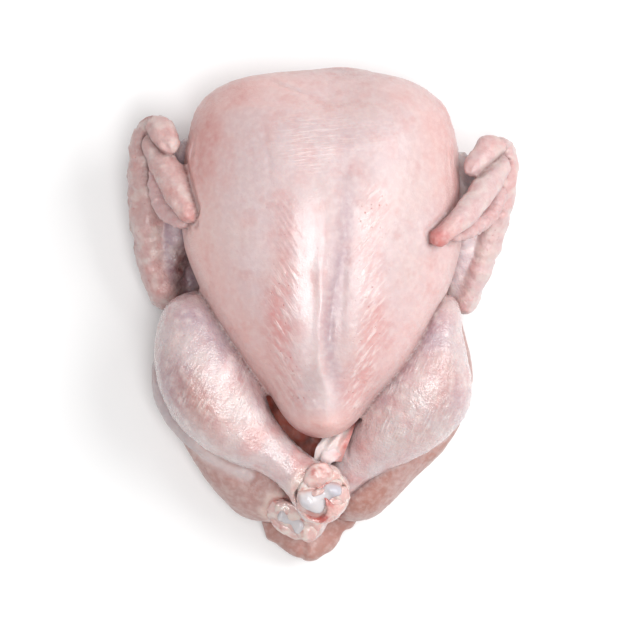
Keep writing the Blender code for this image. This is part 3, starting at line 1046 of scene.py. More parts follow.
@dataclass(frozen=True)
class RawSkin:
    """Chilled raw poultry skin: thin, moist and see-through, so meat and fat tint it from below.

    The tint comes from the mesh, where it follows the bird's anatomy and carries painted shade,
    painted highlights and painted light. The nodes add what is finer than the mesh: a mottle,
    slanting ridges with cream on them that is partly a painted highlight, fat dots, feather pores
    and a pebbled, wet surface.
    """

    name: str = "raw poultry skin, plucked and moist"
    roughness: float = 0.4
    ior: float = 1.4
    scatter_depth: float = 0.003
    scatter_colours: tuple[float, float, float] = (1.0, 0.42, 0.3)
    scatter_weight: float = 0.25
    film_roughness: float = 0.12
    mottle_size: float = 0.009
    speck_size: float = 0.00312
    grain_size: float = 0.0012
    dot_spacing: float = 0.0056
    pore_spacing: float = 0.0036
    relief: float = 0.00045
    fat: str = "E6D8D4"
    pore: str = "A85E58"
    flush: str = "C8706A"
    blush: str = "E9A7A0"
    streaks: tuple[Streak, ...] = (
        Streak("tract_left", -57, 0.009, 0.0022, 0.3, 0.3, 0.6),
        Streak("tract_right", 51, 0.007, 0.0017, 0.5, 0.15, 0.6),
        Streak("neck", 6, 0.009, 0.0011, 0.3, 0.0, 0.3),
        Streak("calf", 67, 0.007, 0.0012, 0.4, 0.15, 0.9),
    )

    def make(self) -> bpy.types.Material:
        """Build the material.

        Returns:
            The material.
        """
        skin = Finish(self.name)
        place = skin.add("TexCoord", out="Object")
        tint = skin.add("Attribute", out="Color", attribute_name="tint")
        dots, pores, coarse, wet = (
            skin.add("Attribute", out="Fac", attribute_name=name)
            for name in ("dots", "pores", "coarse", "wet")
        )

        mottle = skin.add("TexNoise", {"Vector": place, "Scale": 1 / self.mottle_size, "Detail": 3.0})
        fine = skin.add("TexNoise", {"Vector": place, "Scale": 1 / self.speck_size, "Detail": 2.0})
        red = skin.add("MapRange", (mottle, 0.5, 0.72, 0.0, 0.2), **SMOOTH)
        blush = {0: red, 6: tint, 7: linear(self.blush)}
        colour = skin.add("Mix", blush, blend_type="MULTIPLY", **COLOURS)
        specks = skin.add("MapRange", (fine, 0.35, 0.75, 0.0, 0.2), **SMOOTH)
        colour = skin.add("Mix", {0: specks, 6: colour, 7: linear(self.fat)}, **COLOURS)

        cells = skin.add("TexVoronoi", {"Vector": place, "Scale": 1 / self.dot_spacing})
        fat = skin.add("MapRange", (cells, 0.55, 0.05, 0.0, 0.35), **SMOOTH)
        fat = skin.add("Math", (fat, dots), **TIMES)
        colour = skin.add("Mix", {0: fat, 6: colour, 7: linear(self.fat)}, **COLOURS)

        roots = skin.add("TexVoronoi", {"Vector": place, "Scale": 1 / self.pore_spacing})
        holes = skin.add("MapRange", (roots, 0.17, 0.06, 0.0, 0.5), **SMOOTH)
        holes = skin.add("Math", (holes, pores), **TIMES)
        colour = skin.add("Mix", {0: holes, 6: colour, 7: linear(self.pore)}, **COLOURS)

        grain = skin.add("TexNoise", {"Vector": place, "Scale": 1 / self.grain_size, "Detail": 3.0})
        depth = skin.add("MapRange", (coarse, 0.0, 1.0, 0.35, 1.5), **SMOOTH)
        level = skin.add("Math", (grain, depth), **TIMES)
        level = skin.add("Math", (level, holes), operation="SUBTRACT")
        for streak in self.streaks:
            ridge, dip = self.ridges(skin, place, streak)
            deep = skin.add("Math", (dip, streak.deep), **TIMES)
            colour = skin.add("Mix", {0: deep, 6: colour, 7: linear(self.flush)}, **COLOURS)
            # Cream on the ridges: partly their paler skin, partly a painted highlight along them.
            pale = skin.add("Math", (ridge, streak.pale), **TIMES)
            colour = skin.add("Mix", {0: pale, 6: colour, 7: linear(self.fat)}, **COLOURS)
            level = skin.add("Math", (ridge, streak.lift, level), operation="MULTIPLY_ADD")
        bump = skin.add("Bump", {"Height": level, "Strength": 0.7, "Distance": self.relief})

        dry, damp = self.roughness + 0.08, self.roughness - 0.05
        gloss = skin.add("MapRange", (mottle, 0.3, 0.75, damp, dry), **SMOOTH)
        gloss = skin.add("Math", (wet, -0.1, gloss), operation="MULTIPLY_ADD")
        shader = skin.add(
            "BsdfPrincipled",
            {
                "Base Color": colour,
                "Roughness": gloss,
                "IOR": self.ior,
                "Subsurface Weight": self.scatter_weight,
                "Subsurface Scale": self.scatter_depth,
                "Subsurface Radius": self.scatter_colours,
                "Coat Weight": wet,
                "Coat Roughness": self.film_roughness,
                "Coat Normal": bump,
                "Normal": bump,
            },
        )
        skin.add("OutputMaterial", (shader,))
        return skin.material

    @staticmethod
    def ridges(skin: Finish, place: bpy.types.NodeSocket, streak: Streak) -> list:
        """Noise drawn out along a direction, as a socket for its ridges and one for its dips."""
        turned = skin.add(
            "Mapping",
            {
                "Vector": place,
                "Rotation": (0.0, 0.0, math.radians(streak.slant)),
                "Scale": (streak.length, streak.width, streak.length),
            },
            vector_type="TEXTURE",
        )
        noise = skin.add("TexNoise", {"Vector": turned, "Scale": 1.0, "Detail": 2.0})
        mask = skin.add("Attribute", out="Fac", attribute_name=streak.mask)
        both = [skin.add("MapRange", (noise, *ends), **SMOOTH) for ends in ((0.46, 0.7), (0.54, 0.3))]
        return [skin.add("Math", (share, mask), **TIMES) for share in both]


@dataclass(frozen=True)
class Cartilage:
    """Joint cartilage, smooth and wet: milky white with a cool blue where it is thick."""

    name: str = "joint cartilage, wet"
    white: str = "CEC8C8"
    blue: str = "BBB8C1"
    flesh: str = "C99A90"
    roughness: float = 0.27
    ior: float = 1.4
    scatter_weight: float = 0.35
    scatter_depth: float = 0.003
    scatter_colours: tuple[float, float, float] = (1.0, 0.8, 0.7)
    film_weight: float = 0.3
    film_roughness: float = 0.15
    relief: float = 0.0006
    patch_size: float = 0.009

    def make(self) -> bpy.types.Material:
        """Build the material."""
        bone = Finish(self.name)
        place = bone.add("TexCoord", out="Object")
        cool, stain = (
            bone.add("Attribute", out="Fac", attribute_name=name) for name in ("cool", "stain")
        )
        cloud = bone.add("TexNoise", {"Vector": place, "Scale": 1 / self.patch_size, "Detail": 2.0})
        share = bone.add("MapRange", (cloud, 0.35, 0.65, 0.0, 0.35), **SMOOTH)
        share = bone.add("Math", (share, cool), operation="ADD")
        pair = {0: share, 6: linear(self.white), 7: linear(self.blue)}
        colour = bone.add("Mix", pair, **COLOURS)
        colour = bone.add("Mix", {0: stain, 6: colour, 7: linear(self.flesh)}, **COLOURS)
        bump = bone.add("Bump", {"Height": cloud, "Strength": 0.15, "Distance": self.relief})
        shader = bone.add(
            "BsdfPrincipled",
            {
                "Base Color": colour,
                "Roughness": self.roughness,
                "IOR": self.ior,
                "Subsurface Weight": self.scatter_weight,
                "Subsurface Scale": self.scatter_depth,
                "Subsurface Radius": self.scatter_colours,
                "Coat Weight": self.film_weight,
                "Coat Roughness": self.film_roughness,
                "Normal": bump,
            },
        )
        bone.add("OutputMaterial", (shader,))
        return bone.material


@dataclass(frozen=True)
class Plaster:
    """A pale matt table top, painted, that shows only the bird's shadow."""

    name: str = "pale matt paint"
    colour: str = "F4F4F4"
    roughness: float = 0.9

    def make(self) -> bpy.types.Material:
        """Build the material."""
        paint = Finish(self.name)
        look = {"Base Color": linear(self.colour), "Roughness": self.roughness}
        paint.add("OutputMaterial", (paint.add("BsdfPrincipled", look),))
        return paint.material


def new_object(name: str, mesh: bpy.types.Mesh) -> bpy.types.Object:
    """Put a mesh into the scene as an object at the origin."""
    item = bpy.data.objects.new(name, mesh)
    bpy.context.scene.collection.objects.link(item)
    return item


def applied(item: bpy.types.Object) -> None:
    """Replace an object's mesh by what its modifiers make of it."""
    graph = bpy.context.evaluated_depsgraph_get()
    mesh = bpy.data.meshes.new_from_object(item.evaluated_get(graph))
    item.modifiers.clear()
    item.data = mesh


def places_of(mesh: bpy.types.Mesh) -> np.ndarray:
    """Vertex positions in millimetres on the drawing."""
    flat = np.empty(len(mesh.vertices) * 3)
    mesh.vertices.foreach_get("co", flat)
    return flat.reshape(-1, 3) / MM + DRAWING_ORIGIN


def place(mesh: bpy.types.Mesh, points: np.ndarray) -> None:
    """Write vertex positions, given in millimetres on the drawing."""
    mesh.vertices.foreach_set("co", ((points - DRAWING_ORIGIN) * MM).ravel())
    mesh.update()


def normals_of(mesh: bpy.types.Mesh) -> np.ndarray:
    """Unit vectors out of the skin at each vertex."""
    flat = np.empty(len(mesh.vertices) * 3)
    mesh.vertex_normals.foreach_get("vector", flat)
    return flat.reshape(-1, 3)


# How far a vertex moves towards the mean of its neighbours, as a share, and then back.
PULL = 0.55
PULL_BACK = -0.5


def relaxed(mesh: bpy.types.Mesh, points: np.ndarray, rounds: int) -> np.ndarray:
    """Move each vertex towards the mean of its neighbours, then a little back, so nothing shrinks.

    Args:
        mesh: gives the edges.
        points: positions.
        rounds: how often.

    Returns:
        The new positions.
    """
    ends = np.empty(len(mesh.edges) * 2, dtype=np.int64)
    mesh.edges.foreach_get("vertices", ends)
    first, second = ends.reshape(-1, 2).T
    count = len(points)
    degree = np.bincount(first, minlength=count) + np.bincount(second, minlength=count)
    for turn in range(rounds):
        pull = PULL_BACK if turn % 2 else PULL
        mean = np.empty_like(points)
        for axis in range(3):
            column = points[:, axis]
            total = np.bincount(first, column[second], count)
            mean[:, axis] = total + np.bincount(second, column[first], count)
        points = points + pull * (mean / degree[:, None] - points)
    return points


def paint_vertices(mesh: bpy.types.Mesh, name: str, values: np.ndarray) -> None:
    """Store one number or one colour for each vertex.

    Args:
        mesh: the mesh.
        name: the attribute's name, which the material reads.
        values: an array of numbers, or rows of linear red, green and blue.
    """
    if values.ndim == 1:
        mesh.attributes.new(name, "FLOAT", "POINT").data.foreach_set("value", values.astype(np.float32))
        return
    rows = np.ones((len(values), 4), np.float32)
    rows[:, :3] = values
    mesh.attributes.new(name, "FLOAT_COLOR", "POINT").data.foreach_set("color", rows.ravel())


def mixed(colour: np.ndarray, other: str, share: np.ndarray) -> np.ndarray:
    """Blend every vertex's colour towards another by its share."""
    share = np.clip(share, 0, 1)[:, None]
    return colour * (1 - share) + np.array(linear(other)) * share


def plain(colour: str, count: int) -> np.ndarray:
    """The same linear colour for each of so many vertices."""
    return np.tile(np.array(linear(colour)), (count, 1))


@dataclass(frozen=True)
class Tints:
    """The colours that meat, fat and blood give the skin, with the painted shade, painted highlights and
    painted light laid among them, as sRGB hex values.
    """

    pale: str = "C5B2B3"
    cream: str = "CFBFBA"
    # Near white: the pale film of fat and membrane, and also painted highlights and painted light on the
    # breast, the drumsticks and the right upper wing.
    pale_film_and_painted_light: str = "EFE3E3"
    rose: str = "CB9B98"
    blush: str = "C68581"
    red: str = "B8504A"
    plum: str = "9A8091"
    brown: str = "A26A5A"
    # Grey of the folds of leg skin and the shanks, also painted shade on the flat left of the keel's tip.
    grey: str = "A39A9C"
    # Painted shade along the breast's groove.
    groove: str = "A58B92"
    # Painted shade, for the gaps beside the wings, the creases and the hollows of the cavity.
    shade: str = "5E302B"
    salmon: str = "E8B6AF"
    liver: str = "D45F4E"
    blood: str = "E88F80"
    raw: str = "D8A59B"
    fascia: str = "D9CCC2"
    clot: str = "A8382F"
    rim: str = "DDC6BC"
    tissue: str = "CFABA6"
    tendon: str = "D9CCC4"
    veil: str = "DCC8C5"
    veil_rose: str = "D9A39D"

    def daubed(self, skin: Survey, tone: np.ndarray, where: np.ndarray, rows: tuple) -> np.ndarray:
        """Lay soft ovals of tint on one body part.

        Args:
            skin: the surveyed skin.
            tone: linear colours so far.
            where: share to which each vertex takes them.
            rows: the tint's name and its share, then the oval's place, half-sizes and slant.

        Returns:
            The colours with the ovals laid on.
        """
        for name, share, *oval in rows:
            tone = mixed(tone, getattr(self, name), share * skin.patch(*oval) * where)
        return tone

    def skin(self, skin: Survey) -> np.ndarray:
        """The skin's colour at each vertex, laid on one tint after another, with painted shade and
        painted highlights among them.

        Args:
            skin: the surveyed skin.

        Returns:
            Linear colours, one row for each vertex.
        """
        points = skin.points
        cloud = rough(points, 22, 201)
        fine = rough(points, 7, 202)
        tone = plain(self.pale, len(points))
        tone = mixed(tone, self.cream, 0.35 * step_up(cloud, 0.0, 0.8))
        tone = mixed(tone, self.blush, 0.25 * step_up(fine, 0.1, 0.9))

        shanks = skin.on(*SHANKS)
        thighs = skin.on(*THIGHS)
        trunk = skin.on(Part.TRUNK)
        meat = step_up(rough(points, 15, 203) + 0.5 * rough(points, 5, 204), -0.1, 0.9)
        steep = step_up(skin.normals[:, 2], 0.97, 0.6)
        tone = mixed(tone, self.rose, 0.12 * trunk)
        # Salmon on the trunk's steep sides; the extra share on the left is painted light that brightens
        # the flank facing away from the key light.
        tone = mixed(tone, self.salmon, trunk * steep * (0.3 + 0.3 * step_up(-points[:, 0], 0, 40)))
        # A pale patch on the keel's shelf, partly its whiter fat and partly a painted highlight, and a
        # rose band along the shelf's dip.
        tone = self.daubed(
            skin, tone, trunk, (("pale_film_and_painted_light", 0.25, -9, 24, 6.5, 42, 2), ("rose", 0.35, -9.5, 28, 2.2, 14, 14))
        )
        # Painted shade along the groove's deepest line, right of the keel's edge.
        breast = Breast()
        deepest = np.interp(skin.seen[:, 1], *breast.groove)
        strength = np.interp(skin.seen[:, 1], *breast.strength)
        sunk = strength * bell(skin.seen[:, 0], deepest - 0.5, 4.4)
        tone = mixed(tone, self.groove, 0.8 * trunk * sunk)
        # Painted highlight on the knob at the keel's tip.
        tone = self.daubed(skin, tone, trunk, (("pale_film_and_painted_light", 0.35, 2.3, -43, 4, 8, 8),))
        lobules = step_up(rough(points, 4.2, 205), -0.1, 0.5)
        tone = mixed(tone, self.plum, shanks * 0.4 * meat)
        tone = mixed(tone, self.rose, shanks * 0.4 * step_up(rough(points, 12, 206), -0.4, 0.4))
        tone = mixed(tone, self.cream, shanks * 0.35 * lobules)
        tone = self.daubed(
            skin,
            tone,
            shanks,
            (
                ("brown", 0.6, -74, -42, 9, 22, 35),
                ("brown", 0.35, 66, -38, 6, 18, -10),
                ("grey", 0.35, 58, -58, 7, 18, -40),
            ),
        )
        tone = mixed(tone, self.grey, 0.5 * skin.on(*FOLDS))
        tone = mixed(tone, self.brown, thighs * (0.6 + 0.25 * meat))
        tone = mixed(tone, self.plum, skin.on(Part.ARM_LEFT) * (0.45 + 0.3 * meat))
        # Painted light: the right upper wing is lightened towards near white where it lies low and
        # shaded.
        tone = mixed(tone, self.pale_film_and_painted_light, skin.on(Part.ARM_RIGHT) * 0.6)
        tone = mixed(tone, self.plum, skin.on(Part.ARM_RIGHT) * 0.4 * meat)
        flecks = step_up(rough(points, 3.4, 207), 0.35, 0.6)
        tone = mixed(tone, self.cream, skin.on(*ARMS) * 0.5 * flecks)
        wings = skin.on(*FOREARMS, *THUMBS, *HANDS)
        tone = mixed(tone, self.rose, wings * (0.4 + 0.35 * meat))
        tone = mixed(tone, self.brown, 0.25 * wings * step_up(-points[:, 0], 0, 10))
        tone = mixed(tone, self.cream, wings * 0.6 * lobules)
        tone = mixed(tone, self.blush, skin.on(*TRAILING) * 0.4)
        tone = mixed(tone, self.brown, skin.on(Part.TAIL) * 0.75)
        # Painted shade in the low gaps between the wings and the trunk, darker the lower the skin lies.
        deep = step_up(points[:, 2], 52, 42) * skin.on(*ARMS, Part.TRUNK, soft=1.0)
        shaded_gaps = ((-78, 28, 5.5, 24), (-77, 88, 4, 12), (75, 76, 3.5, 12))
        tone = self.daubed(skin, tone, deep, tuple(("shade", 0.95, *gap) for gap in shaded_gaps))

        for tract in TRACTS:
            tone = mixed(tone, self.blush, 0.25 * tract.band(skin.seen) * trunk * skin.facing_up())
        tone = self.daubed(
            skin,
            tone,
            trunk,
            (
                ("blush", 0.5, -27, -2, 6, 20),
                ("blush", 0.4, 28, -8, 8, 12, -20),
                ("blush", 0.4, 30, 59, 5, 5),
                ("blush", 0.35, 20, -35, 7, 13, -30),
                ("blush", 0.55, -64, 100, 9, 14, -20),
                ("blush", 0.5, -66, 80, 8, 12),
                ("blush", 0.4, -46, 121, 8, 6, 10),
                ("blush", 0.35, 64, 100, 10, 14, 20),
                ("blush", 0.35, 72, 72, 7, 16),
                ("blush", 0.2, -18, 45, 3, 4),
                # Painted shade: grey on the flat left of the keel's tip.
                ("grey", 0.35, -11, -42, 5, 11, -10),
                ("salmon", 0.8, -2, -62, 20, 8),
                ("red", 0.45, -9, -65, 10, 2, -22),
            ),
        )
        # Painted highlight along the upper part of the right feather tract.
        right_tract_highlight = TRACTS[1].band(skin.seen) * step_up(skin.seen[:, 1], -5, 15)
        tone = mixed(tone, self.pale_film_and_painted_light, 0.2 * trunk * right_tract_highlight)
        tone = self.daubed(
            skin,
            tone,
            shanks,
            (
                ("plum", 0.5, -70, -2, 14, 9, -20),
                ("plum", 0.35, -52, -22, 8, 22, 35),
                ("plum", 0.55, 55, -8, 13, 9, 20),
                ("plum", 0.5, 42, -28, 6, 16, -35),
                ("plum", 0.3, -80, -40, 8, 20, 10),
                ("plum", 0.3, 72, -50, 6, 16),
                # Painted highlights on the left drumstick's crest.
                ("pale_film_and_painted_light", 0.6, -52, -29, 3.5, 8, -25),
                ("pale_film_and_painted_light", 0.6, -37, -54, 6, 4, -35),
                ("pale_film_and_painted_light", 0.6, -28, -65, 6, 3, -35),
            ),
        )

        left_tip = bell(skin.along[Part.HAND_LEFT], 62, 11) * skin.on(Part.HAND_LEFT)
        right_tip = bell(skin.along[Part.HAND_RIGHT], 74, 13) * skin.on(Part.HAND_RIGHT)
        tone = mixed(tone, self.red, 0.35 * left_tip + 0.75 * right_tip)
        for part, start in ((Part.SHANK_LEFT, 96), (Part.SHANK_RIGHT, 100)):
            ankle = skin.on(part) * step_up(skin.along[part], start - 22, start + 10)
            tone = mixed(tone, self.pale, 0.6 * ankle)
            tone = mixed(tone, self.blush, ankle * 0.55 * step_up(fine, -0.2, 0.6))
        membrane = skin.on(Part.VENT, soft=1.0)
        tone = mixed(tone, self.pale_film_and_painted_light, 0.55 * membrane)
        tone = mixed(tone, self.rose, 0.5 * membrane * step_up(rough(points, 5, 208), -0.2, 0.5))
        tone = mixed(tone, self.red, 0.5 * skin.patch(9.5, -69, 1.5, 8, -25))

        folds = np.min(np.stack([skin.near[part] for part in FOLDS]), axis=0)
        at_fold = step_up(folds, 4, 1)
        crease = (1 - skin.hollow) * (1 - at_fold)
        # Painted shade down the creases where parts press together, left out along the folds of leg skin
        # and in the cavity.
        crease_shade = 0.5 * bell(skin.gap, 0, 2.2) + 0.3 * bell(skin.gap, 0, 1.0)
        tone = mixed(tone, self.shade, crease * crease_shade)
        tone = mixed(tone, self.pale_film_and_painted_light, 0.4 * at_fold * bell(skin.gap, 0, 1.3))
        distance, share = spots(points, 9, 101)
        inside = mixed(plain(self.liver, len(points)), self.blood, 0.3 + 0.7 * share)
        # Painted shade in the hollows between the cavity's lumps.
        inside = mixed(inside, self.shade, 0.6 * step_up(distance, 5.0, 7.0))
        share = skin.hollow[:, None]
        return tone * (1 - share) + inside * share


class SkinPiece:
    """The bird's skin: the CAD solid remeshed, relaxed, given its relief and its tints."""

    VOXEL = 0.85 * MM
    QUICK_VOXEL = 1.5 * MM
    RELAX_ROUNDS = 24
    ROUNDED_ROUNDS = 10
    PRESSED_WIDTH = 2.5
    # The neck end sinks from this y on, over this length and at most so many times the full
    # share, by a share of the height above this level.
    NECK_START = 58
    NECK_LENGTH = 50
    NECK_MOST = 1.5
    NECK_FALL = 0.1
    NECK_LEVEL = 60
    # Least slope by which a distance to the rounded breast is turned into a height.
    LEAST_SLOPE = 0.5
    MERGE_DISTANCE = 1e-6
    MOST_TRIANGLES = 188000

    def __init__(self, node: bpy.types.Object) -> None:
        """Keep the CAD node that gives the shape."""
        self.node = node

    def copied(self) -> bpy.types.Object:
        """A merged copy of the CAD node under a new name."""
        cage = bmesh.new()
        cage.from_mesh(self.node.data)
        bmesh.ops.remove_doubles(cage, verts=cage.verts, dist=self.MERGE_DISTANCE)
        mesh = bpy.data.meshes.new("bird_skin")
        cage.to_mesh(mesh)
        cage.free()
        return new_object("bird_skin", mesh)

    def build(self) -> bpy.types.Object:
        """Make the piece.

        Returns:
            The skin with its attributes and its material.
        """
        item = self.copied()
        remesh = item.modifiers.new("fine skin", "REMESH")
        remesh.mode = "VOXEL"
        remesh.voxel_size = self.VOXEL
        applied(item)
        log.info("skin remeshed to %d vertices", len(item.data.vertices))
        points = relaxed(item.data, places_of(item.data), self.RELAX_ROUNDS)
        beyond = np.clip((points[:, 1] - self.NECK_START) / self.NECK_LENGTH, 0, self.NECK_MOST)
        points[:, 2] -= self.NECK_FALL * beyond**2 * np.maximum(points[:, 2] - self.NECK_LEVEL, 0)
        place(item.data, points)
        survey = Survey(points, normals_of(item.data))
        points[:, 2] += Breast().rounded(survey) / np.maximum(survey.normals[:, 2], self.LEAST_SLOPE)
        points = relaxed(item.data, points, self.ROUNDED_ROUNDS)
        place(item.data, points)
        survey = Survey(points, normals_of(item.data))
        points = points + survey.normals * Relief(survey).total()[:, None]
        pressed = bell(survey.gap, 0, self.PRESSED_WIDTH)[:, None]
        points += pressed * (relaxed(item.data, points, self.ROUNDED_ROUNDS) - points)
        for hock in HOCKS:
            points = hock.hollowed(points)
        points[:, 2] = np.maximum(points[:, 2], DRAWING_ORIGIN[2])
        place(item.data, points)
        self.thinned(item)
        item.data.shade_smooth()
        self.dressed(item)
        return item

    def thinned(self, item: bpy.types.Object) -> None:
        """Collapse the flattest edges until the piece is light enough."""
        cage = bmesh.new()
        cage.from_mesh(item.data)
        bmesh.ops.triangulate(cage, faces=cage.faces[:])
        cage.to_mesh(item.data)
        cage.free()
        count = len(item.data.polygons)
        if count > self.MOST_TRIANGLES:
            thin = item.modifiers.new("thin", "DECIMATE")
            thin.ratio = self.MOST_TRIANGLES / count
            applied(item)
        log.info("skin has %d triangles", len(item.data.polygons))

    def dressed(self, item: bpy.types.Object) -> None:
        """Survey the finished skin again and store its tint and its masks."""
        survey = Survey(places_of(item.data), normals_of(item.data))
        tone = Tints().skin(survey)
        for hock in HOCKS:
            tone = hock.tinted(survey, tone)
        paint_vertices(item.data, "tint", tone)
        for name, share in self.masks(survey).items():
            paint_vertices(item.data, name, np.clip(share, 0, 1))
        item.data.materials.clear()
        item.data.materials.append(RawSkin().make())

    def masks(self, skin: Survey) -> dict[str, np.ndarray]:
        """Where the material's finer patterns are: fat dots, pores, wet and coarse skin, streaks."""
        points = skin.points
        trunk = skin.on(Part.TRUNK)
        shanks = skin.on(*SHANKS)
        dots = shanks * step_up(rough(points, 18, 301), -0.6, 0.3)
        calf = np.zeros(len(points))
        for part in SHANKS:
            dots *= 1 - skin.on(part) * step_up(skin.along[part], 78, 100)
            calf += skin.on(part) * bell(skin.along[part], 58, 26)
        wings = skin.on(*FOREARMS, *ARMS, *TRAILING)
        left, right = (tract.band(skin.seen) * trunk * skin.facing_up() for tract in TRACTS)
        left *= 0.25 + 0.75 * step_up(skin.seen[:, 1], 34, 8)
        steep = step_up(skin.normals[:, 2], 0.9, 0.4)
        neck = skin.patch(-8, 102, 17, 7) + skin.patch(-10, 88, 15, 8) + 0.6 * skin.patch(15, 98, 22, 10)
        hands = skin.on(*HANDS, *THUMBS)
        crease = np.minimum(1.4 * bell(skin.gap, 0, 3.0), 1)
        glossy = 0.3 * skin.patch(-8, 14, 15, 50) + 0.6 * skin.patch(2, -43, 6, 9)
        glossy += 0.4 * left + 0.25 * right
        return {
            "dots": dots + 0.35 * skin.on(*THIGHS) + 0.5 * skin.on(*ARMS),
            "pores": trunk * (0.2 + left + right) + 0.8 * skin.on(*FOREARMS) + 0.5 * shanks,
            "wet": (0.12 + shanks + trunk * glossy + 0.15 * wings) * (1 - skin.hollow) * (1 - crease),
            "coarse": 0.8 * wings + 0.6 * hands + 0.8 * shanks + 0.6 * skin.on(*THIGHS) + trunk * steep,
            "tract_left": left,
            "tract_right": right,
            "neck": neck * trunk,
            "calf": calf * step_up(rough(points, 9, 302), -0.4, 0.4),
        }


def closed_tube(name: str, rings: np.ndarray, first: np.ndarray, last: np.ndarray) -> bpy.types.Mesh:
    """A closed mesh from rings of points, with a point at each end.

    Args:
        name: the mesh's name.
        rings: array of rings, points and coordinates, in millimetres on the drawing.
        first: the point before the first ring.
        last: the point after the last ring.

    Returns:
        The mesh, with its faces turned outwards.
    """
    count, around = rings.shape[:2]
    points = np.vstack([rings.reshape(-1, 3), first, last])
    row = np.arange(around)
    after = (row + 1) % around
    start = np.arange(count - 1)[:, None] * around
    quads = np.stack([start + row, start + after, start + around + after, start + around + row], axis=-1)
    faces = quads.reshape(-1, 4).tolist()
    faces += np.stack([np.full(around, count * around), after, row], axis=1).tolist()
    end = (count - 1) * around
    faces += np.stack([np.full(around, count * around + 1), end + row, end + after], axis=1).tolist()
    mesh = bpy.data.meshes.new(name)
    mesh.from_pydata(((points - DRAWING_ORIGIN) * MM).tolist(), [], faces)
    cage = bmesh.new()
    cage.from_mesh(mesh)
    bmesh.ops.recalc_face_normals(cage, faces=cage.faces[:])
    cage.to_mesh(mesh)
    cage.free()
    mesh.shade_smooth()
    return mesh


